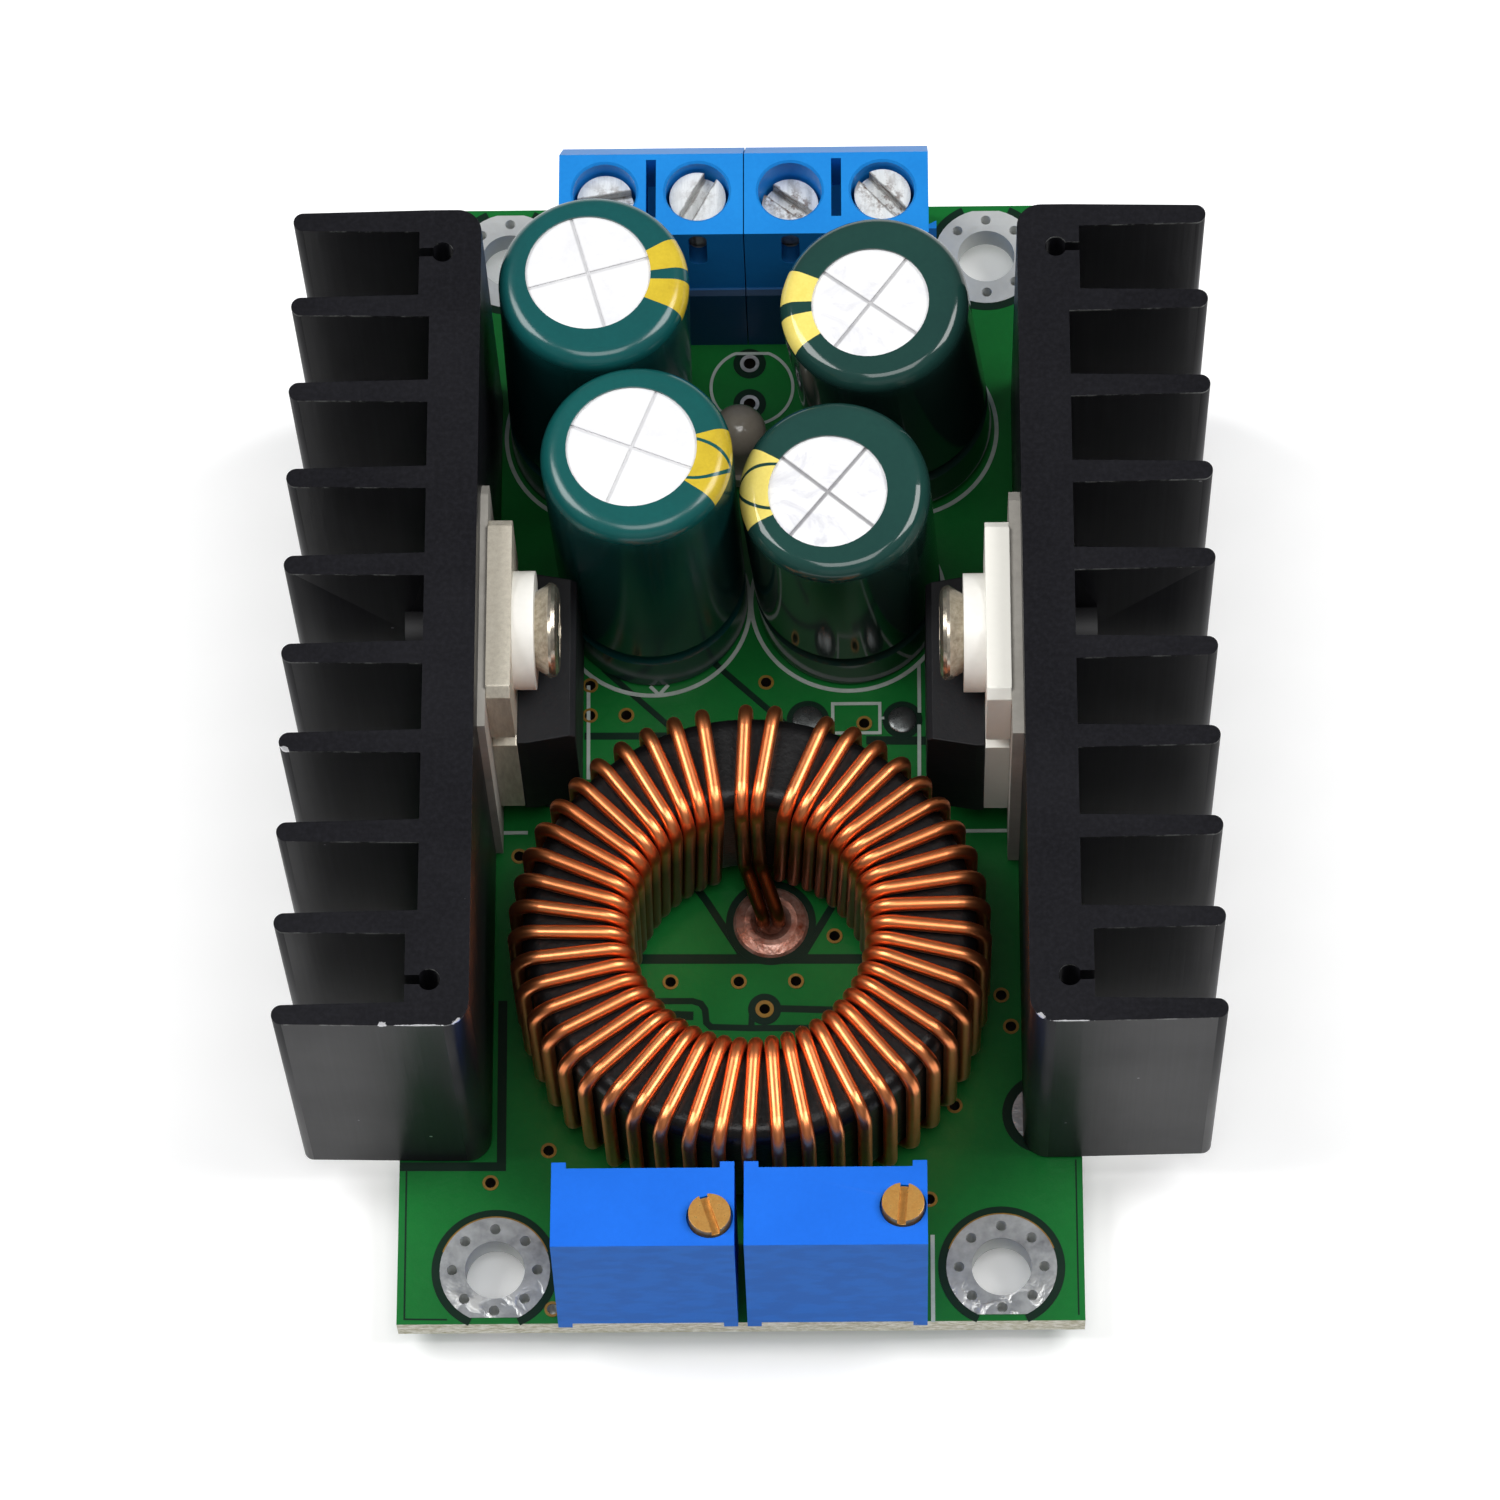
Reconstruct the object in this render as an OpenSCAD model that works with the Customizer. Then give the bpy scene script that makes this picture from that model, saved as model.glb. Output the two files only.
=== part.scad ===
// Step-down (buck) converter module: a green circuit board between two upright finned heatsinks,
// with a two-strand toroidal choke, four electrolytic capacitors, two screw terminal blocks
// and two multi-turn trimmers. All sizes are in millimetres.
//
// Places are given in the board's own frame: X from its centre line, Y from its front edge
// (the trimmer end) and Z from its upper face. in_frame() moves them to the part's frame,
// whose origin is the middle of the footprint, at the level that the trimmed leads stand on.

/* [Board] */
// Width of the board
board_w = 36.6; // [36:0.1:40]
// Length of the board
board_l = 66.2; // [66:0.1:72]
// Thickness of the board
board_t = 1.6; // [1:0.1:2.4]
// Height that the trimmed leads hold the board's lower face above the bench
stand_h = 1.8; // [1.7:0.1:4]
// Diameter of the four mounting holes
mount_hole_d = 3.2; // [2.5:0.1:3.6]
// Distance between the mounting holes across the board
mount_pitch_x = 27; // [26:0.5:28]
// Distance of the front mounting holes from the board's front edge
mount_front = 3; // [2.9:0.1:3.3]
// Distance of the rear mounting holes from the board's rear edge
mount_rear = 3.2; // [3:0.1:3.5]
// Sideways place of the mounting pattern's centre
mount_x = 0.4; // [0:0.1:0.8]
// Diameter of the tinned pad round a mounting hole
mount_pad_d = 5.9; // [5.5:0.1:6.5]
// Thickness of the tinned copper
copper_t = 0.06; // [0.03:0.01:0.15]
// Diameter of a plated via
via_d = 0.57; // [0.3:0.01:0.7]
// Clearance round a lead in its board hole
lead_clear = 0.15; // [0.05:0.05:0.3]

/* [Heatsinks] */
// Distance between the two heatsinks' mounting faces
sink_gap = 28.5; // [28:0.1:32]
// Sideways place of the middle between the heatsinks
sink_x = 0.9; // [0.5:0.1:1.3]
// Place of the heatsinks' front ends
sink_y = 9.1; // [8.6:0.1:9.6]
// Length of a heatsink along the board
sink_l = 46.3; // [45.8:0.1:48]
// Height of a heatsink
sink_h = 21.1; // [20.5:0.1:30]
// Depth of a heatsink, from its mounting face to the fin tips
sink_depth = 10.05; // [8:0.05:14]
// Thickness of the web that carries the fins
sink_web = 2.7; // [2.2:0.1:3.5]
// Number of fins
sink_fins = 10; // [8:1:12]
// Thickness of a fin at the web
fin_root = 1.3; // [1:0.05:1.6]
// Thickness of a fin at its rounded tip
fin_tip = 1.05; // [0.8:0.05:1.3]
// Radius of the web's two outer vertical corners
sink_corner_r = 1.3; // [0.5:0.1:1.8]
// Extra web thickness at the two end slots
end_pad_t = 0.6; // [0.3:0.1:1]
// Diameter of the pin channel in each end slot
channel_d = 1.15; // [0.8:0.05:1.3]
// Width of the mouth that opens the pin channel to its slot
channel_mouth = 0.5; // [0.3:0.05:0.7]
// Distance of the channel from the mounting face
channel_depth = 2.05; // [1.6:0.05:2.2]
// Shift of the channel from its slot's middle towards the heatsink's end
channel_shift = 0.65; // [0:0.05:1]
// Gap between a heatsink and the board
sink_lift = 0.2; // [0.1:0.05:0.5]
// Length of a heatsink pin inside its channel
pin_grip = 6; // [3:0.5:12]

/* [Power devices] */
// Place of the left device along the board
left_device_y = 33.55; // [33:0.05:33.7]
// Place of the right device along the board
right_device_y = 33.2; // [32:0.1:33.4]
// Thickness of the left silicone pad
left_pad_t = 0.4; // [0.2:0.05:0.7]
// Thickness of the right silicone pad
right_pad_t = 0.6; // [0.2:0.05:0.8]
// Shift of the left silicone pad towards the rear
left_pad_shift = 0.3; // [0:0.1:1]
// Width of a silicone pad
pad_w = 14.2; // [12:0.1:16]
// Height of a silicone pad
pad_h = 18; // [17:0.1:19]
// Size of the bevel at a silicone pad's upper rear corner
pad_bevel = 0.9; // [0.3:0.1:2]
// Width of a device's metal tab
tab_w = 10.2; // [9.8:0.1:10.5]
// Thickness of a device's metal tab
tab_t = 1.3; // [1:0.05:1.5]
// Height of a tab's top above the board
tab_top = 18.6; // [18:0.1:19]
// Depth of the notch in a tab's sides above the moulding
tab_notch = 0.6; // [0.3:0.1:1]
// Diameter of the hole in a tab
tab_hole_d = 3.8; // [3.7:0.1:4]
// Height of a tab's hole above the board
tab_hole_z = 15.2; // [15:0.1:15.2]
// Width of a device's moulding
moulding_w = 9.9; // [9.6:0.1:10]
// Height of a device's moulding
moulding_h = 9.2; // [8.6:0.1:9.3]
// Depth of a device from the back of its tab to the moulding's face
device_t = 4.4; // [4.2:0.05:4.5]
// Height of a moulding's lower end above the board
device_lift = 2.4; // [1:0.1:2.5]
// Draft of the moulding's sides, as a set-back at its face
moulding_draft = 0.45; // [0.35:0.05:0.7]
// Width of a device lead
lead_w = 0.8; // [0.6:0.05:0.9]
// Thickness of a device lead
lead_t = 0.5; // [0.4:0.05:0.6]
// Spacing of the regulator's five leads
regulator_pitch = 1.7; // [1.7:0.05:1.9]
// Spacing of the rectifier's leads
rectifier_pitch = 2.54; // [2.2:0.02:2.8]
// Diameter of an insulating bush's flange
bush_d = 6.3; // [5.8:0.1:7]
// Thickness of an insulating bush's flange
bush_t = 1.15; // [0.8:0.05:1.3]
// Diameter of a tab screw's shank
tab_screw_d = 2.9; // [2.4:0.1:2.9]
// Diameter of a tab screw's head
tab_head_d = 5.05; // [4.8:0.05:5.6]
// Diameter of that head where it meets the bush
tab_head_root = 4.1; // [3.8:0.05:4.6]
// Height of a tab screw's head
tab_head_h = 1.25; // [1:0.05:1.4]
// Depth that a tab screw reaches into its heatsink
tab_screw_grip = 4; // [2.5:0.1:5]

/* [Choke] */
// Sideways place of the choke
choke_x = 0.69; // [0.5:0.01:1]
// Place of the choke along the board
choke_y = 18.5; // [18.4:0.1:18.9]
// Gap between the winding and the board
choke_lift = 0.3; // [0.2:0.05:0.6]
// Outer diameter of the core
core_od = 24; // [23.6:0.1:24.2]
// Inner diameter of the core
core_id = 13.8; // [13.7:0.1:15]
// Height of the core
core_h = 9.7; // [8:0.1:11]
// Diameter of the enamelled wire
wire_d = 0.76; // [0.5:0.01:0.77]
// Radius of the wire's bends, along its axis
wire_bend = 1.3; // [0.9:0.1:1.6]
// Gap between the wire and the core
wire_gap = 0.03; // [0.02:0.01:0.1]
// Number of turns of the two-strand winding
choke_turns = 24; // [12:1:24]
// Bearing of the first turn, clockwise from the rear
first_turn_a = 2.8; // [2:0.1:3.4]
// Bearing of the second turn
second_turn_a = 23.3; // [20:0.1:24]
// Angle between turns from the second on
turn_step_a = 14.6; // [14.6:0.05:15]
// Angle between the two strands of a turn
strand_a = 7.3; // [7.2:0.05:7.3]
// Angle that a strand drifts back on its way in over the top
top_drift_a = 3; // [0:0.5:4]
// Angle that a strand drifts back down the inner wall
wall_drift_a = 4; // [3:0.5:5]
// Place of the inner solder pad across the board
choke_pad_x = 1.65; // [1.3:0.05:2]
// Place of the inner solder pad along the board
choke_pad_y = 22.7; // [22.4:0.05:22.9]
// Diameter of the inner solder pad
choke_pad_d = 4.1; // [3:0.1:4.4]

/* [Capacitors] */
// Diameter of a sleeved capacitor
cap_d = 10.2; // [9.6:0.05:10.2]
// Height of the two left capacitors
left_cap_h = 20; // [18:0.1:22]
// Height of the two right capacitors
right_cap_h = 17.3; // [16:0.1:20]
// Thickness of the shrunk sleeve
sleeve_t = 0.15; // [0.1:0.01:0.25]
// Radius of a can's upper edge
cap_edge_r = 0.8; // [0.4:0.1:1.2]
// Height of the rolled groove above a can's foot
groove_z = 3.4; // [2.5:0.1:4]
// Depth of the rolled groove
groove_depth = 0.35; // [0.1:0.05:0.6]
// Radius of the rolled groove
groove_r = 0.7; // [0.5:0.05:1]
// Width of the vent score in a can's top
score_w = 0.16; // [0.08:0.02:0.3]
// Depth of the vent score
score_depth = 0.08; // [0.04:0.01:0.15]
// Thickness of the rubber bung
bung_t = 1.6; // [1:0.1:2.5]
// Wall of the can round the bung
can_wall = 0.5; // [0.3:0.05:0.8]
// Spacing of a capacitor's leads
cap_pitch = 5; // [4.5:0.1:5.5]
// Diameter of a capacitor's leads
cap_lead_d = 0.7; // [0.5:0.05:0.8]
// Least gap between a capacitor's foot and the board
cap_lift = 0.12; // [0.05:0.01:0.3]

/* [Indicator lamp] */
// Diameter of the lamp's lens
lamp_d = 3; // [2.8:0.1:3.2]
// Height of the lens's straight part
lamp_h = 2.6; // [2:0.1:4]
// Diameter of the lens's rim
lamp_rim_d = 3.6; // [3.4:0.1:4]
// Height of the lens's rim
lamp_rim_h = 0.9; // [0.5:0.1:1.2]
// Place of the lamp along the board
lamp_y = 50.3; // [50:0.1:51]
// Gap between the lamp and the board
lamp_lift = 0.6; // [0.2:0.1:1.5]

/* [Terminal blocks] */
// Spacing of the four poles
pole_pitch = 5.08; // [5:0.02:5.2]
// Sideways place of the joint between the blocks
terminal_x = 0.42; // [0:0.01:0.8]
// Place of the blocks' inner foot
terminal_y = 57.6; // [57.4:0.1:58]
// Height of the blocks
terminal_h = 12.6; // [12.4:0.1:14]
// Depth of the blocks at the board
terminal_d = 8.1; // [8:0.1:8.4]
// Depth of the blocks' top
terminal_top_d = 4.95; // [4.8:0.05:5.2]
// Set-back of the top's inner edge from the foot
terminal_lean = 0.6; // [0.3:0.05:0.8]
// Height of the shallow step in the inner face
terminal_step_z = 6.4; // [5:0.1:7]
// Depth of the shallow step in the inner face
terminal_step = 0.2; // [0.1:0.05:0.25]
// Gap between the two blocks
block_gap = 0.06; // [0.02:0.01:0.2]
// Diameter of the screw wells
well_d = 3.5; // [3.3:0.05:3.7]
// Place of the wells along the board
well_y = 60.85; // [60.7:0.05:61]
// Width of the slot between poles
pole_slot_w = 0.55; // [0.3:0.05:0.65]
// Depth of the slot between poles
pole_slot_depth = 3.2; // [1:0.1:3.6]
// Width of a wire entry
entry_w = 3.9; // [3:0.1:3.95]
// Height of a wire entry
entry_h = 3.9; // [3:0.1:4]
// Width of the test hole in the inner face
test_hole_w = 1; // [0.6:0.1:1.4]
// Length of the test hole
test_hole_h = 3.4; // [2:0.1:3.6]
// Depth of a screw well, down to the cavity of its pole
well_l = 4; // [3.8:0.1:4.1]
// Width of the cavity of one pole
cavity_w = 4.3; // [4.2:0.05:4.4]
// Diameter of a terminal screw's head
pole_screw_d = 3.1; // [2.8:0.05:3.2]
// Diameter of a terminal screw's thread
pole_thread_d = 2.5; // [2:0.1:2.6]
// Opening left under the clamp plate of the screw that is driven in furthest
jaw_least = 0.6; // [0.3:0.05:1]
// Length of a terminal screw's head
pole_head_l = 1.7; // [1.4:0.1:1.8]
// Thread pitch of a terminal screw
pole_thread_pitch = 0.5; // [0.4:0.05:0.7]
// Width of a terminal screw's slot
pole_screw_slot = 0.75; // [0.5:0.05:0.9]
// Wall of a clamp frame
clamp_wall = 0.55; // [0.4:0.05:0.6]
// Thickness of a clamp frame's threaded bridge
clamp_bridge = 1.2; // [0.8:0.1:1.3]
// Thickness of a clamp plate
clamp_plate_t = 0.4; // [0.3:0.05:0.5]
// Gap between a moving piece of a clamp and its guide
clamp_play = 0.05; // [0.03:0.01:0.1]
// Width of a terminal pin
pole_pin_w = 1; // [0.8:0.1:1.2]

/* [Trimmers] */
// Width of a trimmer
trimmer_w = 9.53; // [9.4:0.01:9.6]
// Thickness of a trimmer
trimmer_t = 4.83; // [4.7:0.01:4.9]
// Height of a trimmer
trimmer_h = 10.03; // [9.8:0.01:10.2]
// Sideways place of the middle between the trimmers
trimmer_x = 0.14; // [0:0.01:0.3]
// Gap between the two trimmers
trimmer_gap = 0.5; // [0.3:0.05:0.7]
// Overhang of the trimmers' lower front edge past the board
trimmer_over = 0.4; // [0.2:0.05:0.6]
// Angle that the trimmers lean back
trimmer_lean = 7; // [4:0.5:7]
// Width of a trimmer's corner feet
foot_w = 0.75; // [0.5:0.05:1]
// Height of a trimmer's corner feet
foot_h = 0.5; // [0.3:0.05:0.8]
// Diameter of an adjusting screw
adjust_d = 2.2; // [2:0.05:2.3]
// Height that an adjusting screw stands out
adjust_out = 0.5; // [0.3:0.05:0.8]
// Diameter of an adjusting screw's shaft
adjust_shaft_d = 1.5; // [1.2:0.1:1.8]
// Length of an adjusting screw's shaft
adjust_shaft_l = 6; // [4:0.5:8]
// Radial play of an adjusting screw
adjust_play = 0.05; // [0.02:0.01:0.1]
// Depth of the recess round an adjusting screw
adjust_recess = 0.45; // [0.2:0.05:0.6]
// Distance of an adjusting screw from the trimmer's right side
adjust_side = 1.27; // [1.25:0.01:1.6]
// Distance of the left adjusting screw from its trimmer's front face
left_adjust_front = 1.65; // [1.5:0.05:2.5]
// Distance of the right adjusting screw from its trimmer's front face
right_adjust_front = 2.2; // [1.5:0.05:2.5]

/* [Underside] */
// Length that leads stand out under the board
lead_out = 1.3; // [0.8:0.1:1.6]
// Height of a solder cone
solder_h = 0.8; // [0.5:0.05:0.8]
// Width that a solder cone adds round its lead
solder_rim = 0.6; // [0.4:0.05:0.8]
// Height of the eight-lead control chip
chip_h = 1.45; // [1.2:0.05:1.5]
// Height of the resistors and capacitors
chip_part_h = 0.6; // [0.4:0.05:1]
// Height of the current shunt
shunt_h = 0.7; // [0.5:0.05:1]

/* [Hidden] */

round_fn = 48;       // segments of the large round forms
small_fn = 24;       // segments of wires, leads and small holes
eps = 0.01;          // overshoot of a cut past the face that it opens

left = 0;            // index of the left-hand one of a pair
right = 1;           // index of the right-hand one of a pair

floor_z = -board_t - stand_h;

// Middle of the footprint: across, between the two rows of fin tips; along, from the
// trimmers' overhang to the board's rear edge.
frame_x = sink_x;
frame_y = (board_l - trimmer_over) / 2;

module in_frame() {
  translate([-frame_x, -frame_y, -floor_z]) children();
}

// ---- Helpers ----

function unit(v) = v / norm(v);

// A round rod from point p to point q.
module rod(p, q, d) {
  v = q - p;
  translate(p)
    rotate([0, acos(v.z / norm(v)), atan2(v.y, v.x)])
      cylinder(d = d, h = norm(v), $fn = small_fn);
}

// A round bend at point p, from direction a to direction b.
module bend(p, a, b, r, d) {
  turn = acos(a * b);
  centre = p + unit(b - a) * r / cos(turn / 2);
  x = unit(p - a * r * tan(turn / 2) - centre);
  n = cross(x, a);
  multmatrix([
    [x.x, a.x, n.x, centre.x],
    [x.y, a.y, n.y, centre.y],
    [x.z, a.z, n.z, centre.z],
    [0, 0, 0, 1]
  ])
    rotate_extrude(angle = turn, $fn = round_fn)
      translate([r, 0]) circle(d = d, $fn = small_fn);
}

// Length that the bend at corner i takes from each of its two legs.
function bend_cut(path, i, r) =
  i == 0 || i == len(path) - 1 ? 0
  : let (a = unit(path[i] - path[i - 1]), b = unit(path[i + 1] - path[i])) r * tan(acos(a * b) / 2);

// A wire of diameter d along the path's corners, with bends of radius r.
module wire(path, d, r) {
  for (i = [0 : len(path) - 2]) {
    along = unit(path[i + 1] - path[i]);
    rod(path[i] + along * bend_cut(path, i, r), path[i + 1] - along * bend_cut(path, i + 1, r), d);
  }
  for (i = [1 : len(path) - 2])
    bend(path[i], unit(path[i] - path[i - 1]), unit(path[i + 1] - path[i]), r, d);
}

// A rectangle from the origin with all four corners rounded.
module rounded_rect(w, h, r) {
  translate([r, 0]) square([w - 2 * r, h]);
  translate([0, r]) square([w, h - 2 * r]);
  for (x = [r, w - r], y = [r, h - r])
    translate([x, y]) circle(r = r, $fn = round_fn);
}

// A block centred on x and y, from z up.
module block(x, y, z, size) {
  translate([x - size.x / 2, y - size.y / 2, z]) cube(size);
}

// ---- Heatsinks ----

// The left heatsink's profile is drawn from its mounting face outwards; the right one's is
// its mirror image.
slot_pitch = (sink_l - fin_root) / (sink_fins - 1);
end_slot_mid = (fin_root + slot_pitch) / 2;
channel_ends = [end_slot_mid - channel_shift, sink_l - end_slot_mid + channel_shift];
sink_face_x = [sink_x - sink_gap / 2, sink_x + sink_gap / 2];
outward = [-1, 1];

module sink_fin(y) {
  tip_x = sink_depth - fin_tip / 2;
  translate([0, y]) {
    polygon([
      [sink_web - eps, -fin_root / 2], [tip_x, -fin_tip / 2],
      [tip_x, fin_tip / 2], [sink_web - eps, fin_root / 2]
    ]);
    translate([tip_x, 0]) circle(d = fin_tip, $fn = small_fn);
  }
}

module sink_profile() {
  difference() {
    union() {
      translate([0, sink_corner_r]) square([sink_web, sink_l - 2 * sink_corner_r]);
      translate([sink_corner_r, 0]) square([sink_web - sink_corner_r, sink_l]);
      for (y = [sink_corner_r, sink_l - sink_corner_r])
        translate([sink_corner_r, y]) circle(r = sink_corner_r, $fn = round_fn);
      for (i = [0 : sink_fins - 1])
        sink_fin(fin_root / 2 + i * slot_pitch);
      for (y = [fin_root / 2, sink_l - fin_root / 2 - slot_pitch])
        translate([sink_web - eps, y]) square([end_pad_t + eps, slot_pitch]);
    }
    for (y = channel_ends) translate([channel_depth, y]) {
      circle(d = channel_d, $fn = small_fn);
      translate([0, -channel_mouth / 2]) square([sink_web + end_pad_t, channel_mouth]);
    }
  }
}

// Draws its children from a mounting face: X outwards from the face, Y along the board.
module from_face(side, y) {
  translate([sink_face_x[side], y, 0]) scale_x(outward[side]) children();
}

module scale_x(sign) {
  if (sign < 0) mirror([1, 0, 0]) children();
  else children();
}

module heatsink(side) {
  color([0.14, 0.14, 0.16])
    difference() {
      translate([0, 0, sink_lift])
        from_face(side, sink_y) linear_extrude(sink_h) sink_profile();
      from_face(side, device_y[side])
        translate([-eps, 0, tab_hole_z]) rotate([0, 90, 0])
          cylinder(d = tab_screw_d, h = tab_screw_grip + eps, $fn = small_fn);
    }
}

function sink_pin(side, i) =
  [sink_face_x[side] + outward[side] * channel_depth, sink_y + channel_ends[i]];
sink_pin_d = channel_d;
sink_pins = [for (side = [left, right], i = [0, 1]) sink_pin(side, i)];

module heatsink_pins() {
  color([0.75, 0.75, 0.74])
    for (p = sink_pins)
      translate([p.x, p.y, floor_z])
        cylinder(d = sink_pin_d, h = -floor_z + sink_lift + pin_grip, $fn = small_fn);
}

// ---- Power devices ----

device_y = [left_device_y, right_device_y];
pad_t = [left_pad_t, right_pad_t];
pad_shift = [left_pad_shift, 0];
lead_depth = 2.7;            // lead plane, from the back of the tab
moulding_top = device_lift + moulding_h;
tab_foot = device_lift + 0.6; // the tab ends behind the moulding
notch_h = 1.1;               // height of the notch in a tab's side
tab_bevel = 0.5;             // bevel at the tab's upper corners
lead_root = 3;               // length of a lead inside the moulding
bush_sleeve = 1;             // length of a bush's neck in the tab
bush_play = 0.1;             // gap round a screw in its bush
pad_foot = 0.4;              // gap between a silicone pad and the board

// Draws its children against a device's thermal pad: X points to the board's middle.
module from_pad(side) {
  translate([sink_face_x[side] - outward[side] * pad_t[side], device_y[side], 0])
    scale_x(-outward[side]) children();
}

module thermal_pad(side) {
  color([0.72, 0.70, 0.66])
    translate([sink_face_x[side], device_y[side] + pad_shift[side] + pad_w / 2, pad_foot])
      scale_x(-outward[side])
        difference() {
          rotate([90, 0, 90]) linear_extrude(pad_t[side])
            mirror([1, 0]) polygon([
              [0, 0], [pad_w, 0], [pad_w, pad_h], [pad_bevel, pad_h], [0, pad_h - pad_bevel]
            ]);
          translate([-eps, -pad_w / 2 - pad_shift[side], tab_hole_z - pad_foot]) rotate([0, 90, 0])
            cylinder(d = tab_hole_d, h = pad_t[side] + 2 * eps, $fn = small_fn);
        }
}

module tab_outline() {
  half = tab_w / 2;
  difference() {
    polygon([
      [-half, tab_foot], [half, tab_foot],
      [half, moulding_top], [half - tab_notch, moulding_top],
      [half - tab_notch, moulding_top + notch_h], [half, moulding_top + notch_h],
      [half, tab_top - tab_bevel], [half - tab_bevel, tab_top],
      [tab_bevel - half, tab_top], [-half, tab_top - tab_bevel],
      [-half, moulding_top + notch_h], [tab_notch - half, moulding_top + notch_h],
      [tab_notch - half, moulding_top], [-half, moulding_top]
    ]);
    translate([0, tab_hole_z]) circle(d = tab_hole_d, $fn = round_fn);
  }
}

module device_tab(side) {
  color([0.70, 0.68, 0.64])
    from_pad(side) rotate([90, 0, 90]) linear_extrude(tab_t) tab_outline();
}

// One device lead at place y of its row.
module device_lead(y) {
  translate([lead_depth - lead_t / 2, y - lead_w / 2, -board_t - lead_out])
    cube([lead_t, lead_w, board_t + lead_out + device_lift + lead_root]);
}

function lead_row(count, pitch) = [for (i = [0 : count - 1]) (i - (count - 1) / 2) * pitch];
device_leads_y = [lead_row(5, regulator_pitch), lead_row(3, rectifier_pitch)];

module device_leads(side) {
  color([0.78, 0.78, 0.76])
    from_pad(side) for (y = device_leads_y[side]) device_lead(y);
}

// The moulding: full width at the tab, drawn in towards its face, round the tab's lower part.
module device_body(side) {
  half = moulding_w / 2;
  color([0.13, 0.13, 0.14])
    from_pad(side) difference() {
      translate([0, 0, device_lift]) linear_extrude(moulding_h) polygon([
        [tab_t, -half], [tab_t + lead_t, -half], [device_t, moulding_draft - half],
        [device_t, half - moulding_draft], [tab_t + lead_t, half], [tab_t, half]
      ]);
      for (y = device_leads_y[side]) device_lead(y);
      translate([device_t, 0, moulding_top]) rotate([0, 45, 0])
        cube([moulding_draft, moulding_w, moulding_draft], center = true);
    }
}

module insulating_bush(side) {
  color([0.95, 0.95, 0.93])
    from_pad(side) translate([0, 0, tab_hole_z]) rotate([0, 90, 0]) difference() {
      union() {
        translate([0, 0, tab_t]) cylinder(d = bush_d, h = bush_t, $fn = round_fn);
        translate([0, 0, tab_t - bush_sleeve])
          cylinder(d = tab_hole_d - 2 * bush_play, h = bush_sleeve + eps, $fn = round_fn);
      }
      translate([0, 0, tab_t - bush_sleeve - eps])
        cylinder(d = tab_screw_d + 2 * bush_play, h = bush_sleeve + bush_t + 2 * eps, $fn = round_fn);
    }
}

// A tab screw's head: a cone that widens from the bush, with a rounded rim.
module screw_head() {
  rim = tab_head_d / 2;
  rotate_extrude($fn = round_fn) polygon([
    [0, 0], [tab_head_root / 2, 0], [rim, tab_head_h * 0.58], [rim, tab_head_h * 0.7],
    [rim * 0.96, tab_head_h * 0.86], [rim * 0.86, tab_head_h * 0.97],
    [rim * 0.75, tab_head_h], [0, tab_head_h]
  ]);
}

recess_l = 2.8;              // length of a cross recess's slots
recess_w = 0.7;
recess_depth = 0.7;

module tab_screw(side) {
  reach = tab_screw_grip + pad_t[side];
  color([0.80, 0.78, 0.74])
    from_pad(side) translate([0, 0, tab_hole_z]) rotate([0, 90, 0]) difference() {
      union() {
        translate([0, 0, -reach])
          cylinder(d = tab_screw_d, h = reach + tab_t + bush_t, $fn = round_fn);
        translate([0, 0, tab_t + bush_t]) screw_head();
      }
      for (a = [20, 110]) rotate([0, 0, a])
        block(0, 0, tab_t + bush_t + tab_head_h - recess_depth, [recess_l, recess_w, recess_depth + eps]);
    }
}

// ---- Choke ----

core_z = choke_lift + wire_d + wire_gap;
wire_r_in = core_id / 2 - wire_gap - wire_d / 2;
wire_r_out = core_od / 2 + wire_gap + wire_d / 2;
wire_z_low = choke_lift + wire_d / 2;
wire_z_high = core_z + core_h + wire_gap + wire_d / 2;
core_edge_r = wire_bend - wire_d / 2 - wire_gap;
pad_wire_pitch = wire_d + 0.1;   // spacing of the two wires in their solder pad
pad_rise = 1;                    // height of the straight wire above the pad
wall_rise = 2.5;                 // height at which it reaches the core's inner wall

function choke_point(r, a, z) = [choke_x + r * sin(a), choke_y + r * cos(a), z];
function turn_a(i) = i == 0 ? first_turn_a : second_turn_a + (i - 1) * turn_step_a;

// Corners of one turn of a strand: up the inner wall, out over the top, down outside.
function turn_path(i, shift) =
  let (a = turn_a(i) + shift)
  [
    choke_point(wire_r_in, a - top_drift_a - wall_drift_a, wire_z_low),
    choke_point(wire_r_in, a - top_drift_a, wire_z_high),
    choke_point(wire_r_out, a, wire_z_high),
    choke_point(wire_r_out, a, wire_z_low)
  ];

// The whole strand: out of its pad, up into the first turn, and down through the board
// outside the last one.
function strand_path(side) =
  let (
    sign = side == left ? -1 : 1,
    shift = sign * strand_a / 2,
    pad = [choke_pad_x + sign * pad_wire_pitch / 2, choke_pad_y, 0],
    first = turn_path(0, shift),
    last_a = turn_a(choke_turns - 1) + shift
  )
  [
    pad + [0, 0, -board_t - lead_out],
    pad + [0, 0, pad_rise],
    [first[1].x, first[1].y, wire_z_low + wall_rise],
    first[1], first[2], first[3],
    for (i = [1 : choke_turns - 2]) each turn_path(i, shift),
    turn_path(choke_turns - 1, shift)[0],
    turn_path(choke_turns - 1, shift)[1],
    turn_path(choke_turns - 1, shift)[2],
    choke_point(wire_r_out, last_a, -board_t - lead_out)
  ];

module choke_core() {
  color([0.10, 0.10, 0.10])
    translate([choke_x, choke_y, core_z])
      rotate_extrude($fn = round_fn)
        translate([core_id / 2, 0])
          rounded_rect((core_od - core_id) / 2, core_h, core_edge_r);
}

module choke_wire(side) {
  color([0.78, 0.43, 0.24]) wire(strand_path(side), wire_d, wire_bend);
}

// ---- Capacitors ----

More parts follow.
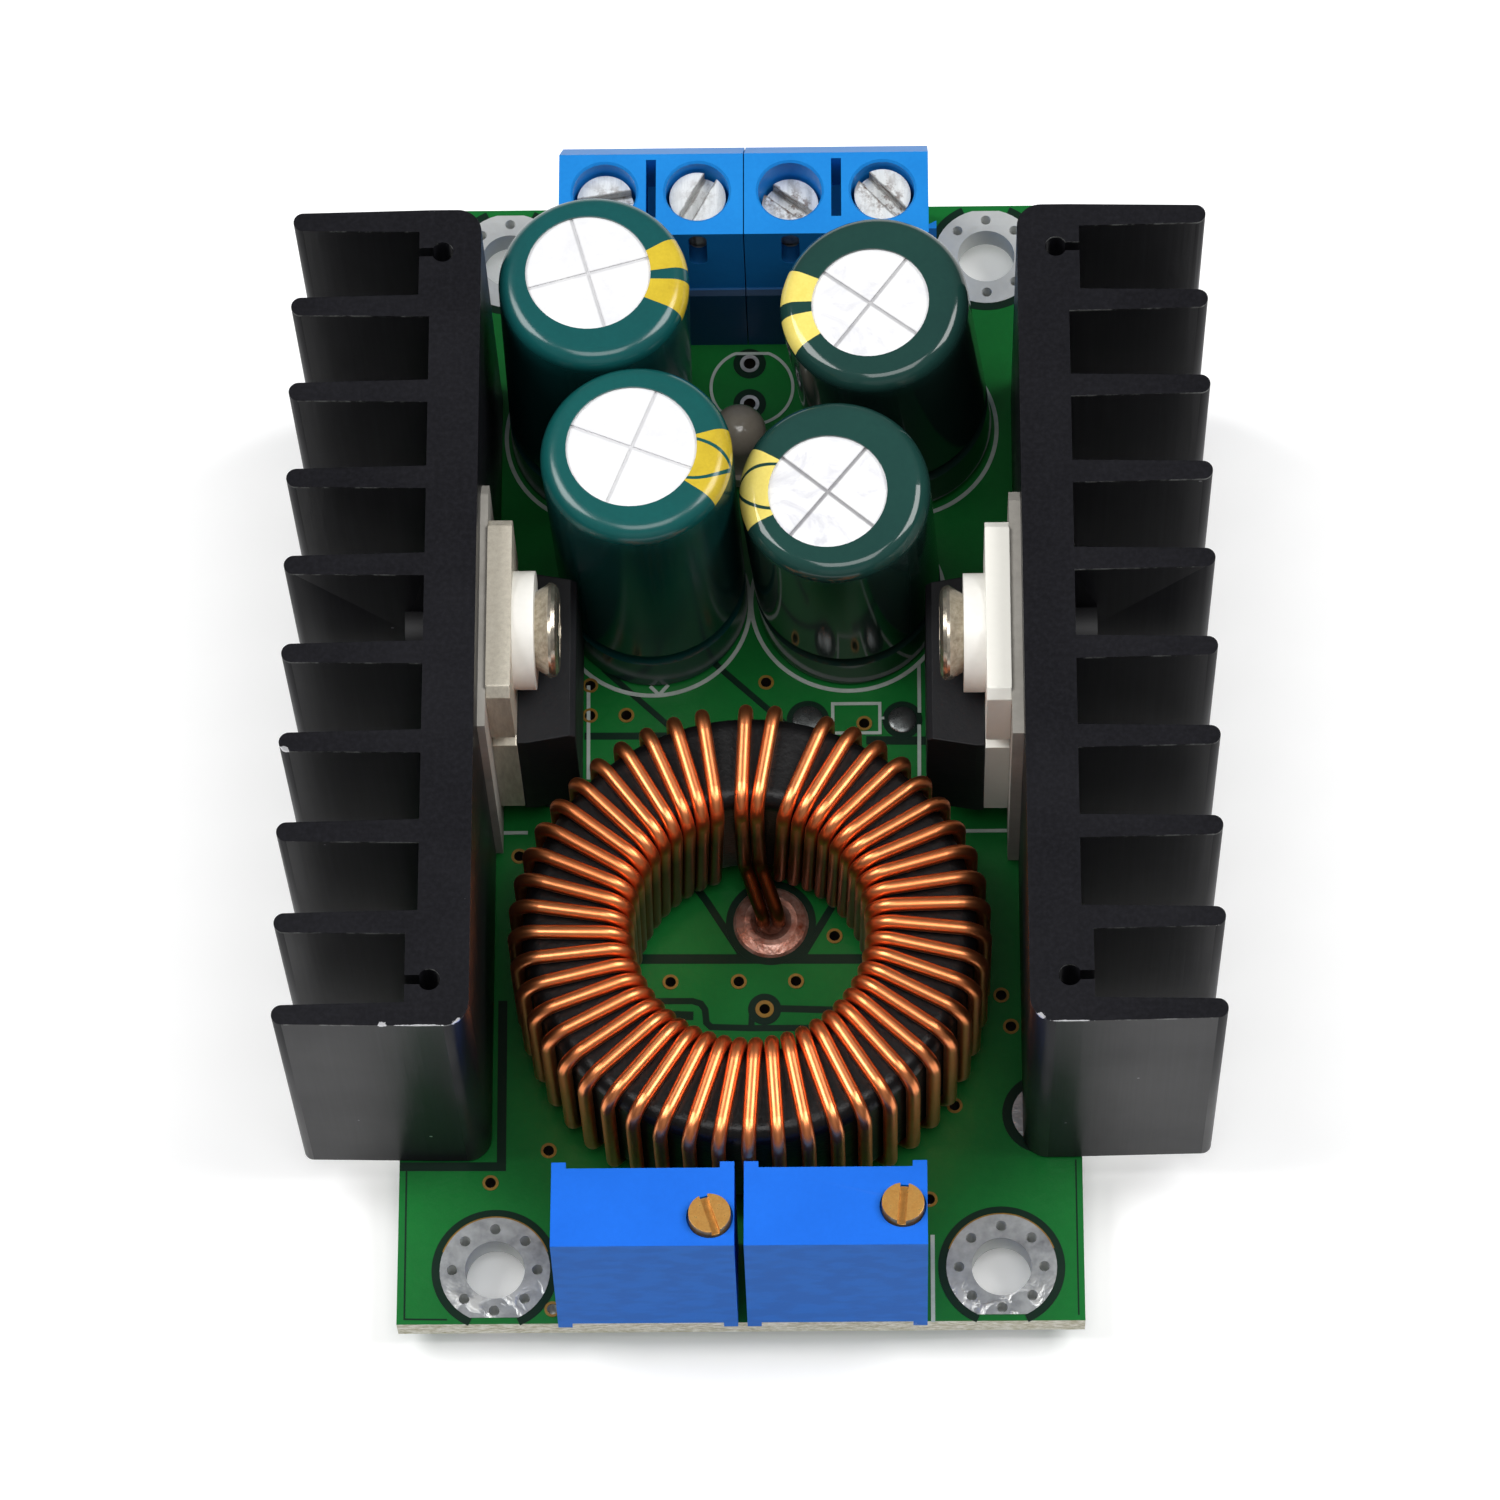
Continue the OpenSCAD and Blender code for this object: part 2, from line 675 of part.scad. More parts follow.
// Foot centre, lean of the top to +X and to +Y in degrees, height, diameter of the bare
// disc, bearing of the score and shift of the disc off the can's axis, for each capacitor.
caps = [
  [[-7.73, 51.94], [0.9, 0], left_cap_h, 6.7, 16, [-0.3, 0.33]],
  [[-4.7, 41.8], [-1.2, 0], left_cap_h, 6.95, -22, [-0.23, 0.22]],
  [[8.94, 52.25], [-5.1, -1.3], right_cap_h, 6.35, 52, [-0.15, -0.16]],
  [[6.05, 41.74], [-2.5, -3.2], right_cap_h, 6.35, 50, [-0.34, -0.22]]
];

function cap_foot(c) =
  cap_lift + cap_d / 2 * (abs(sin(c[1].x)) + abs(sin(c[1].y)));
function cap_leads_at(c) =
  [for (s = [-1, 1]) c[0] + [s * cap_pitch / 2, 0]];
cap_leads = [for (c = caps) each cap_leads_at(c)];
lead_in_bung = bung_t / 2;
bung_r = cap_d / 2 - sleeve_t - can_wall;
score_l = 7.3;               // length of a vent score's two cuts

module stand_cap(c) {
  translate([c[0].x, c[0].y, cap_foot(c)])
    rotate([-c[1].y, c[1].x, 0]) children();
}

// Half section of a capped cylinder with a rolled groove, grown by g all round.
module can_section(h, g) {
  r = cap_d / 2 - sleeve_t + g;
  edge = cap_edge_r + g;
  difference() {
    union() {
      square([r, h + g - edge]);
      square([r - edge, h + g]);
      translate([r - edge, h + g - edge]) circle(r = edge, $fn = round_fn);
    }
    translate([r + groove_r - groove_depth, groove_z]) circle(r = groove_r, $fn = round_fn);
    translate([-h, -eps]) square([h, 3 * h]);
  }
}

function can_h(c) = c[2] - cap_foot(c) - sleeve_t;

module capacitor_can(c) {
  color([0.88, 0.88, 0.87]) stand_cap(c) difference() {
    rotate_extrude($fn = round_fn) difference() {
      can_section(can_h(c), 0);
      translate([0, -eps]) square([bung_r, bung_t + eps]);
    }
    for (a = [0, 90]) translate([c[5].x, c[5].y, 0]) rotate([0, 0, c[4] + a])
      block(0, 0, can_h(c) - score_depth, [score_l, score_w, score_depth + eps]);
  }
}

module capacitor_sleeve(c) {
  color([0.05, 0.30, 0.28]) stand_cap(c) difference() {
    rotate_extrude($fn = round_fn) difference() {
      can_section(can_h(c), sleeve_t);
      can_section(can_h(c), 0);
    }
    translate([c[5].x, c[5].y, can_h(c) / 2]) cylinder(d = c[3], h = can_h(c), $fn = round_fn);
  }
}

// Both leads of a capacitor, up into its bung.
module leads_of(c) {
  for (p = cap_leads_at(c))
    translate([p.x, p.y, -board_t - lead_out])
      cylinder(d = cap_lead_d, h = board_t + lead_out + cap_foot(c) + lead_in_bung, $fn = small_fn);
}

module capacitor_bung(c) {
  color([0.12, 0.12, 0.12]) difference() {
    stand_cap(c) cylinder(r = bung_r, h = bung_t, $fn = round_fn);
    leads_of(c);
  }
}

module capacitor_leads() {
  color([0.80, 0.80, 0.78]) for (c = caps) leads_of(c);
}

// ---- Indicator lamp ----

lamp_x = 0;
lamp_pitch = 2.54;
lamp_lead_w = 0.5;
lamp_leads_at = [for (s = [-1, 1]) [lamp_x + s * lamp_pitch / 2, lamp_y]];
lamp_lead_root = 1;

module lamp_lead(p) {
  block(p.x, p.y, -board_t - lead_out,
    [lamp_lead_w, lamp_lead_w, board_t + lead_out + lamp_lift + lamp_lead_root]);
}

module lamp_lens() {
  color([0.80, 0.80, 0.76, 0.7]) difference() {
    translate([lamp_x, lamp_y, lamp_lift]) {
      cylinder(d = lamp_rim_d, h = lamp_rim_h, $fn = round_fn);
      cylinder(d = lamp_d, h = lamp_rim_h + lamp_h, $fn = round_fn);
      translate([0, 0, lamp_rim_h + lamp_h]) sphere(d = lamp_d, $fn = round_fn);
    }
    for (p = lamp_leads_at) lamp_lead(p);
  }
}

module lamp_leads() {
  color([0.80, 0.80, 0.78]) for (p = lamp_leads_at) lamp_lead(p);
}

// ---- Terminal blocks ----

poles = [for (i = [0 : 3]) terminal_x + (i - 1.5) * pole_pitch];
block_w = 2 * pole_pitch - block_gap;
screw_drop = [1.1, 0.8, 1.7, 0.6];     // depth of each screw's top below the block's top
slot_bearing = [10, 62, -38, -48];     // bearing of each screw's slot
top_y = terminal_y + terminal_lean;    // inner edge of the block's top
rear_y = terminal_y + terminal_d;
deepest = max(screw_drop);
entry_z = 3.3;                         // height of a wire entry's lower edge
cavity_h = terminal_h - well_l;
pole_screw_l = terminal_h - deepest - entry_z - clamp_plate_t - jaw_least;
entry_roof = 1.2;                      // wall between a wire entry and the slope above it
inner_wall = 0.9;                      // wall of a pole's cavity at the blocks' inner face
wire_wall = 1.6;                       // wall of a pole's cavity at the wire side
shoulder_z = entry_z + entry_h + entry_roof;
cavity_y = terminal_y + terminal_step + inner_wall;
cavity_d = rear_y - cavity_y - wire_wall;
clamp_y = cavity_y + clamp_play;
clamp_d = cavity_d - 2 * clamp_play;
clamp_w = cavity_w - 2 * clamp_play;
clamp_top = cavity_h - clamp_play;
clamp_floor = entry_z - clamp_wall;
plate_w = clamp_w - 2 * clamp_wall - 2 * clamp_play;
slot_inset = 1.05;                     // wall between the slot between poles and the inner edge
slot_end = 0.35;                       // wall behind that slot
rib_w = 0.45;                          // how far the dovetail rib stands out
rib_root = 0.9;                        // width of the rib's root
groove_root = 1.1;                     // width of the groove that takes such a rib
rib_inset = 2.2;                       // place of the rib from the blocks' inner foot
rib_stop = 3.1;                        // plain wall above the rib
rib_y = terminal_y + rib_inset;
rib_h = terminal_h - rib_stop;
well_chamfer = 0.12;
step_slope = 0.2;                      // run of the sloped ledge at the inner face's step
hole_foot = 0.2;                       // how far a test hole stops below its mouth

module block_section() {
  polygon([
    [terminal_y, 0], [rear_y, 0], [rear_y, shoulder_z],
    [top_y + terminal_top_d, terminal_h], [top_y, terminal_h],
    [terminal_y + terminal_step + step_slope, terminal_step_z],
    [terminal_y, terminal_step_z - terminal_step]
  ]);
}

// A dovetail across the side of a block, as wide as s at its root.
module dovetail(s) {
  linear_extrude(rib_h) polygon([
    [0, -s / 2], [rib_w, -s * 0.75], [rib_w, s * 0.75], [0, s / 2]
  ]);
}

module pole_cuts(x) {
  translate([x, well_y, cavity_h - eps])
    cylinder(d = well_d, h = terminal_h - cavity_h + 2 * eps, $fn = round_fn);
  translate([x, well_y, terminal_h - well_chamfer])
    cylinder(d1 = well_d, d2 = well_d + 2 * (well_chamfer + eps), h = well_chamfer + eps, $fn = round_fn);
  translate([x - cavity_w / 2, cavity_y, -eps]) cube([cavity_w, cavity_d, cavity_h + eps]);
  translate([x - entry_w / 2, cavity_y + eps, entry_z])
    cube([entry_w, terminal_d, entry_h]);
  hole_z = terminal_h - test_hole_h;
  hole_r = test_hole_w / 2;
  translate([x, terminal_y - eps, 0]) rotate([-90, 0, 0]) linear_extrude(well_y - terminal_y)
    mirror([0, 1]) {
      translate([0, hole_z + hole_r]) circle(r = hole_r, $fn = small_fn);
      translate([-hole_r, hole_z + hole_r])
        square([test_hole_w, test_hole_h - 2 * hole_r - hole_foot]);
      translate([0, terminal_h - hole_r - hole_foot]) circle(r = hole_r, $fn = small_fn);
    }
}

module terminal_housing(side) {
  x0 = terminal_x + (side == left ? -block_w - block_gap / 2 : block_gap / 2);
  first = side * 2;
  color([0.17, 0.50, 0.84]) {
    difference() {
      translate([x0, 0, 0]) rotate([90, 0, 90]) linear_extrude(block_w) block_section();
      pole_cuts(poles[first]);
      pole_cuts(poles[first + 1]);
      translate([
        (poles[first] + poles[first + 1]) / 2 - pole_slot_w / 2, top_y + slot_inset,
        terminal_h - pole_slot_depth
      ])
        cube([pole_slot_w, terminal_top_d - slot_inset - slot_end, pole_slot_depth + eps]);
      if (side == left)
        translate([x0 - eps, rib_y, -eps]) dovetail(groove_root);
    }
    if (side == right)
      translate([x0 + block_w, rib_y, 0]) dovetail(rib_root);
  }
}

pole_pins = [for (x = poles) [x, well_y]];

module pole_pin(p) {
  block(p.x, p.y, floor_z, [pole_pin_w, pole_pin_w * 0.8, clamp_floor - floor_z + eps]);
}

// The four clamp frames: each a flat tube round its wire, with the threaded bridge on top.
module clamp_frames() {
  color([0.82, 0.81, 0.76]) for (i = [0 : 3]) {
    difference() {
      translate([poles[i] - clamp_w / 2, clamp_y, clamp_floor])
        cube([clamp_w, clamp_d, clamp_top - clamp_floor]);
      translate([poles[i] - clamp_w / 2 + clamp_wall, clamp_y - eps, entry_z])
        cube([clamp_w - 2 * clamp_wall, clamp_d + 2 * eps, clamp_top - clamp_bridge - entry_z]);
      translate([poles[i], well_y, entry_z + eps])
        cylinder(d = pole_thread_d + 2 * clamp_play, h = clamp_top, $fn = round_fn);
    }
    pole_pin(pole_pins[i]);
  }
}

function screw_top(i) = terminal_h - screw_drop[i];
function screw_tip(i) = screw_top(i) - pole_screw_l;

module clamp_plate(i) {
  plate_d = clamp_d - 2 * clamp_play;
  color([0.80, 0.72, 0.50])
    translate([poles[i] - plate_w / 2, clamp_y + clamp_play, screw_tip(i) - clamp_plate_t])
      cube([plate_w, plate_d, clamp_plate_t]);
}

module terminal_screw(i) {
  slot_depth = pole_head_l * 0.4;
  point_h = (pole_thread_d - pole_thread_d * 0.7) / 2;
  color([0.86, 0.86, 0.84]) translate([poles[i], well_y, screw_tip(i)]) difference() {
    union() {
      cylinder(d1 = pole_thread_d * 0.7, d2 = pole_thread_d, h = point_h, $fn = round_fn);
      translate([0, 0, point_h])
        cylinder(d = pole_thread_d, h = pole_screw_l - pole_head_l, $fn = round_fn);
      translate([0, 0, pole_screw_l - pole_head_l])
        cylinder(d = pole_screw_d, h = pole_head_l, $fn = round_fn);
    }
    rotate([0, 0, slot_bearing[i]])
      block(0, 0, pole_screw_l - slot_depth,
        [pole_screw_d + 2 * eps, pole_screw_slot, slot_depth + eps]);
  }
}

// ---- Trimmers ----

trimmer_x0 = [trimmer_x - trimmer_gap / 2 - trimmer_w, trimmer_x + trimmer_gap / 2];
trimmer_pitch = 2.54;
trimmer_pin_d = 0.5;
trimmer_pin_in = 3;                // distance of the pins from the trimmer's front face
trimmer_pin_y = trimmer_pin_in - trimmer_over;
pin_root = 1.5;                    // length of a pin inside the case
slot_turn = [18, -5];              // bearing of each adjusting screw's slot
adjust_front = [left_adjust_front, right_adjust_front];
rib_depth = 0.35;                  // depth of the ribs at the case's rear corners
recess_play = 0.12;                // gap round the head in its recess

// Draws its children in a leaning trimmer's frame: origin at its lower left front corner.
// The case stands on its rear feet, with the front edge lifted.
module lean_trimmer(side) {
  translate([trimmer_x0[side], -trimmer_over, trimmer_t * sin(trimmer_lean)])
    rotate([-trimmer_lean, 0, 0]) children();
}

trimmer_pins_at = [for (side = [left, right], i = [-1 : 1])
  [trimmer_x0[side] + trimmer_w / 2 + i * trimmer_pitch, trimmer_pin_y]];

module trimmer_pin(p) {
  translate([p.x, p.y, -board_t - lead_out])
    cylinder(d = trimmer_pin_d, h = board_t + lead_out + foot_h + pin_root, $fn = small_fn);
}

module trimmer_case(side) {
  rear_cut = trimmer_w - 2 * foot_w;
  color([0.15, 0.45, 0.88]) difference() {
    lean_trimmer(side) difference() {
      cube([trimmer_w, trimmer_t, trimmer_h]);
      translate([foot_w, -eps, -eps]) cube([rear_cut, trimmer_t + 2 * eps, foot_h]);
      translate([-eps, foot_w, -eps]) cube([trimmer_w + 2 * eps, trimmer_t - 2 * foot_w, foot_h]);
      translate([foot_w, trimmer_t - rib_depth, -eps])
        cube([rear_cut, rib_depth + eps, trimmer_h + 2 * eps]);
      translate([trimmer_w - adjust_side, adjust_front[side], trimmer_h]) {
        translate([0, 0, -adjust_recess])
          cylinder(d = adjust_d + 2 * recess_play, h = adjust_recess + eps, $fn = round_fn);
        translate([0, 0, -adjust_recess - adjust_shaft_l - adjust_play])
          cylinder(d = adjust_shaft_d + 2 * adjust_play,
            h = adjust_shaft_l + adjust_recess, $fn = round_fn);
      }
    }
    for (p = trimmer_pins_at) trimmer_pin(p);
  }
}

adjust_slot_w = 0.44;
adjust_slot_depth = 0.45;

module adjusting_screw(side) {
  head_h = adjust_recess - adjust_play + adjust_out;
  color([0.78, 0.56, 0.25]) lean_trimmer(side)
    translate([trimmer_w - adjust_side, adjust_front[side], trimmer_h]) difference() {
      union() {
        translate([0, 0, adjust_out - head_h]) cylinder(d = adjust_d, h = head_h, $fn = round_fn);
        translate([0, 0, -adjust_recess - adjust_shaft_l])
          cylinder(d = adjust_shaft_d, h = adjust_shaft_l + adjust_recess, $fn = round_fn);
      }
      rotate([0, 0, 90 + slot_turn[side]])
        block(0, 0, adjust_out - adjust_slot_depth,
          [adjust_d + 2 * eps, adjust_slot_w, adjust_slot_depth + eps]);
    }
}

module trimmer_pins() {
  color([0.80, 0.80, 0.78]) for (p = trimmer_pins_at) trimmer_pin(p);
}

// ---- Board ----

mount_holes = [for (s = [-1, 1], y = [mount_front, board_l - mount_rear])
  [mount_x + s * mount_pitch_x / 2, y]];
mount_via_r = (mount_hole_d + mount_pad_d) / 4;
mount_via_count = 8;
function mount_via(i) = mount_via_r * [cos(i * 360 / mount_via_count), sin(i * 360 / mount_via_count)];
pad_edge = 0.35;                   // gap between a mounting pad and the board's end

// Plated vias beside the parts, chosen by hand.
vias = [
  [1.4, 36.9], [-8.3, 36.8], [-8.3, 35], [-6.3, 35], [-12.1, 26.7], [-10.3, 9.7],
  [-13.4, 7.9], [14.1, 18.4], [14.6, 16.6], [11.5, 12.1], [10.1, 6.8], [-3.8, 19.3],
  [-0.1, 19.3], [3, 19.3], [5.1, 21.9], [1.3, 17.7], [6.8, 34.4], [-10, 0.8]
];
// Free solder-filled holes of the parts that were left off.
spare_holes = [[0.5, 56.4], [0.5, 53.9], [3.7, 34.6], [8.9, 34.6]];
spare_d = 0.9;

device_lead_d = norm([lead_w, lead_t]);
device_leads_at = [for (side = [left, right], y = device_leads_y[side])
  [sink_face_x[side] - outward[side] * (pad_t[side] + lead_depth), device_y[side] + y]];
wire_ends = [for (side = [left, right]) each
  let (path = strand_path(side)) [path[0], path[len(path) - 1]]];

// Every lead that passes through the board, with its diameter.
through_leads = [
  for (p = sink_pins) [p, sink_pin_d],
  for (p = device_leads_at) [p, device_lead_d],
  for (p = wire_ends) [[p.x, p.y], wire_d],
  for (p = cap_leads) [p, cap_lead_d],
  for (p = lamp_leads_at) [p, lamp_lead_w * sqrt(2)],
  for (p = pole_pins) [p, pole_pin_w * 1.25],
  for (p = trimmer_pins_at) [p, trimmer_pin_d]
];

module board_hole(p, d) {
  translate([p.x, p.y, -board_t - eps]) cylinder(d = d, h = board_t + 2 * eps, $fn = small_fn);
}

module circuit_board() {
  color([0.09, 0.42, 0.15]) difference() {
    translate([-board_w / 2, 0, -board_t]) cube([board_w, board_l, board_t]);
    for (p = mount_holes) {
      board_hole(p, mount_hole_d);
      for (i = [0 : mount_via_count - 1])
        board_hole(p + mount_via(i), via_d);
    }
    for (p = vias) board_hole(p, via_d);
    for (p = spare_holes) board_hole(p, spare_d);
    for (lead = through_leads) board_hole(lead[0], lead[1] + 2 * lead_clear);
  }
}

// A tinned ring round a mounting hole, cut back from the board's end.
module mounting_pad(p, z) {
  difference() {
    intersection() {
      translate([p.x, p.y, z]) cylinder(d = mount_pad_d, h = copper_t, $fn = round_fn);
      translate([-board_w / 2, pad_edge, z]) cube([board_w, board_l - 2 * pad_edge, copper_t]);
    }
    translate([p.x, p.y, z - eps]) cylinder(d = mount_hole_d, h = copper_t + 2 * eps, $fn = round_fn);
    for (i = [0 : mount_via_count - 1])
      let (v = p + mount_via(i))
        translate([v.x, v.y, z - eps]) cylinder(d = via_d, h = copper_t + 2 * eps, $fn = small_fn);
  }
}

module mounting_pads() {
  color([0.78, 0.79, 0.77]) for (p = mount_holes, z = [0, -board_t - copper_t]) mounting_pad(p, z);
}

// ---- Solder ----

solder_tip = 0.1;                  // width of solder round a lead at a cone's tip

module solder_cone(p, d) {
  translate([p.x, p.y, -board_t - solder_h])
    cylinder(d1 = d + 2 * solder_tip, d2 = d + 2 * solder_rim, h = solder_h, $fn = small_fn);
}

pad_mound_h = 0.35;

// The choke's upper pad: a low mound of solder with a crater where the wires go in.
module choke_pad() {
  r = choke_pad_d / 2;
  translate([choke_pad_x, choke_pad_y, 0]) rotate_extrude($fn = round_fn)
    polygon([
      [0, 0], [r, 0], [r * 0.93, pad_mound_h * 0.4], [r * 0.7, pad_mound_h],
      [r * 0.55, pad_mound_h], [r * 0.35, pad_mound_h * 0.4], [0, pad_mound_h * 0.3]
    ]);
}

module solder_joints() {
  color([0.80, 0.81, 0.80]) difference() {
    union() {
      for (lead = through_leads) solder_cone(lead[0], lead[1]);
      choke_pad();
    }
    for (side = [left, right]) {
      from_pad(side) for (y = device_leads_y[side]) device_lead(y);
      path = strand_path(side);
      for (p = [path[0], path[len(path) - 1]])
        translate([p.x, p.y, -board_t - lead_out - eps])
          cylinder(d = wire_d, h = board_t + lead_out + pad_rise, $fn = small_fn);
    }
    for (p = sink_pins)
      translate([p.x, p.y, floor_z]) cylinder(d = sink_pin_d, h = -floor_z, $fn = small_fn);
    for (c = caps) leads_of(c);
    for (p = lamp_leads_at) lamp_lead(p);
    for (p = pole_pins) pole_pin(p);
    for (p = trimmer_pins_at) trimmer_pin(p);
  }
}

// ---- Underside parts ----

// Draws its children on the lower face: Z points down from the board.
module under(x, y, a) {
  translate([x, y, -board_t]) rotate([180, 0, a]) children();
}

control_at = [-6, 14];
chip_l = 4.9;
chip_w = 3.9;
chip_stand = 0.15;                 // gap between the chip and the board
gull_pitch = 1.27;
gull_w = 0.42;
gull_t = 0.2;
gull_root = 0.3;                   // length of a gull-wing lead inside the chip
gull_bend = 0.42;                  // distance of its bend from the chip's side
gull_reach = 1.05;                 // distance of its tip from the chip's side
gull_z = chip_h * 0.5;

module gull_lead(x) {
  side_y = chip_w / 2;
  translate([x - gull_w / 2, side_y - gull_root, gull_z]) cube([gull_w, gull_root + gull_bend, gull_t]);
  translate([x - gull_w / 2, side_y + gull_bend - gull_t, 0]) cube([gull_w, gull_t, gull_z + gull_t]);
  translate([x - gull_w / 2, side_y + gull_bend - gull_t, 0])
    cube([gull_w, gull_reach - gull_bend + gull_t, gull_t]);
}

module gull_leads() {
  for (turn = [0, 180]) rotate([0, 0, turn])
    for (i = [0 : 3]) gull_lead((i - 1.5) * gull_pitch);
}

module control_chip() {
  color([0.12, 0.12, 0.13]) under(control_at.x, control_at.y, 0) difference() {
    block(0, 0, chip_stand, [chip_l, chip_w, chip_h - chip_stand]);
    gull_leads();
  }
}

module control_chip_leads() {
  color([0.78, 0.78, 0.76]) under(control_at.x, control_at.y, 0) gull_leads();
}

bias_at = [8.5, 12.5];
bias_l = 4.5;
bias_w = 2.5;

module bias_regulator() {
  color([0.12, 0.12, 0.13]) under(bias_at.x, bias_at.y, 0) block(0, 0, 0, [bias_l, bias_w, chip_h]);
}

shunt_at = [-12.6, 46.5];
shunt_l = 6.4;
shunt_w = 3.2;

module current_shunt() {
  color([0.16, 0.16, 0.17])
    under(shunt_at.x, shunt_at.y, 90) block(0, 0, 0, [shunt_l, shunt_w, shunt_h]);
}

chip_part_l = 2;
chip_part_w = 1.25;
resistors_at = [[-12, 20], [-9, 20], [-6, 20], [-3, 9.5], [0, 9.5], [3, 9.5], [6, 17], [9, 17]];
capacitors_at = [[-12, 14], [-6, 9.5], [12.5, 22], [-2, 26], [6, 26]];

// Small parts of one size, at the given places.
module chip_parts(places) {
  for (p = places) under(p.x, p.y, 90) block(0, 0, 0, [chip_part_l, chip_part_w, chip_part_h]);
}

module chip_resistors() {
  color([0.10, 0.10, 0.11]) chip_parts(resistors_at);
}

module chip_capacitors() {
  color([0.62, 0.50, 0.36]) chip_parts(capacitors_at);
}

// ---- Nodes ----

in_frame() {
  circuit_board();
  mounting_pads();
  heatsink(left);  // heatsink_left
  heatsink(right);  // heatsink_right
  heatsink_pins();
  thermal_pad(left);  // thermal_pad_left
  thermal_pad(right);  // thermal_pad_right
  device_tab(left);  // regulator_tab
  device_body(left);  // regulator_body
  device_leads(left);  // regulator_leads
  device_tab(right);  // rectifier_tab
  device_body(right);  // rectifier_body
  device_leads(right);  // rectifier_leads
  insulating_bush(left);  // insulating_bush_left
  insulating_bush(right);  // insulating_bush_right
  tab_screw(left);  // tab_screw_left
  tab_screw(right);  // tab_screw_right
  choke_core();
  choke_wire(left);  // choke_wire_a
  choke_wire(right);  // choke_wire_b
  for (i = [1 : 4]) {
    capacitor_can(caps[i - 1]);
    capacitor_sleeve(caps[i - 1]);
    capacitor_bung(caps[i - 1]);
    clamp_plate(i - 1);
    terminal_screw(i - 1);
  }
  capacitor_leads();
  lamp_lens();
  lamp_leads();
  terminal_housing(left);  // terminal_housing_left
  terminal_housing(right);  // terminal_housing_right
  clamp_frames();
  trimmer_case(left);  // trimmer_case_left
  trimmer_case(right);  // trimmer_case_right
  adjusting_screw(left);  // adjusting_screw_left
  adjusting_screw(right);  // adjusting_screw_right
  trimmer_pins();
  solder_joints();
  control_chip();
  control_chip_leads();
  bias_regulator();
  current_shunt();
  chip_resistors();
  chip_capacitors();
}
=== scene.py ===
"""Finishes of the buck converter module: board print, plating, windings, sleeves and moulded parts."""

import math
from typing import Callable, NamedTuple

import bmesh
import bpy
from mathutils import Matrix, Vector


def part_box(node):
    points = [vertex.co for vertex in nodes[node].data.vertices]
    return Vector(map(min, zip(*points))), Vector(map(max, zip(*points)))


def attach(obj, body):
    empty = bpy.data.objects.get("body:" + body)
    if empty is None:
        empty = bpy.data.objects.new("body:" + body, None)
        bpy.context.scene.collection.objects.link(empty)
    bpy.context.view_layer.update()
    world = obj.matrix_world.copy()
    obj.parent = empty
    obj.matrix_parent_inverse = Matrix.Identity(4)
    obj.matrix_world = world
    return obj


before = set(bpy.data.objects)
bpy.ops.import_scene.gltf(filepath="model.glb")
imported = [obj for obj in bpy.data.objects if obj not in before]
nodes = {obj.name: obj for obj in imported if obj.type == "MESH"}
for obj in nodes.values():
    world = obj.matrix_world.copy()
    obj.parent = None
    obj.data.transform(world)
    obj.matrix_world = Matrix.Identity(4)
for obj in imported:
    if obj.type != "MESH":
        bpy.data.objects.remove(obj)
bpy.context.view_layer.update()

MM = 0.001
board_low, board_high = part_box("circuit_board")
left_low, left_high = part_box("heatsink_left")
right_low, right_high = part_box("heatsink_right")
BOARD_MID = (board_low.x + board_high.x) / 2


def on_board(x, y, z=0.0):
    """A point given in millimetres from the board's centre line, front edge and upper face."""
    return Vector((BOARD_MID + x * MM, board_low.y + y * MM, board_high.z + z * MM))


# ---- Places on the board, in millimetres as on_board takes them ----

CHOKE_MIDDLE = (0.69, 18.5)
CHOKE_PAD = (1.65, 22.7)
SINK_PAD = (16.3, 11.6)
MOUNTING_HOLES = [(-13.1, 3.0), (13.9, 3.0), (-13.1, 63.0), (13.9, 63.0)]
VIAS = [
    (1.4, 36.9), (-8.3, 36.8), (-8.3, 35.0), (-6.3, 35.0), (-12.1, 26.7), (-10.3, 9.7),
    (-13.4, 7.9), (14.1, 18.4), (14.6, 16.6), (11.5, 12.1), (10.1, 6.8), (-3.8, 19.3),
    (-0.1, 19.3), (3.0, 19.3), (5.1, 21.9), (6.8, 34.4), (-10.0, 0.8),
]
TRACK_VIA = (1.3, 17.7)
SPARE_LAMP = (0.63, 54.92)
LAMP_HOLES = [(0.5, 56.4), (0.5, 53.9)]
SOLDER_ISLANDS = [((3.7, 34.6), 0.88), ((8.9, 34.6), 0.8)]
CAN_CIRCLES = [(-7.73, 51.94), (8.94, 52.25), (-4.87, 41.55), (5.97, 41.74)]


# ---- Node tools ----

FLOAT = "NodeSocketFloat"
VECTOR = "NodeSocketVector"
COLOR = "NodeSocketColor"


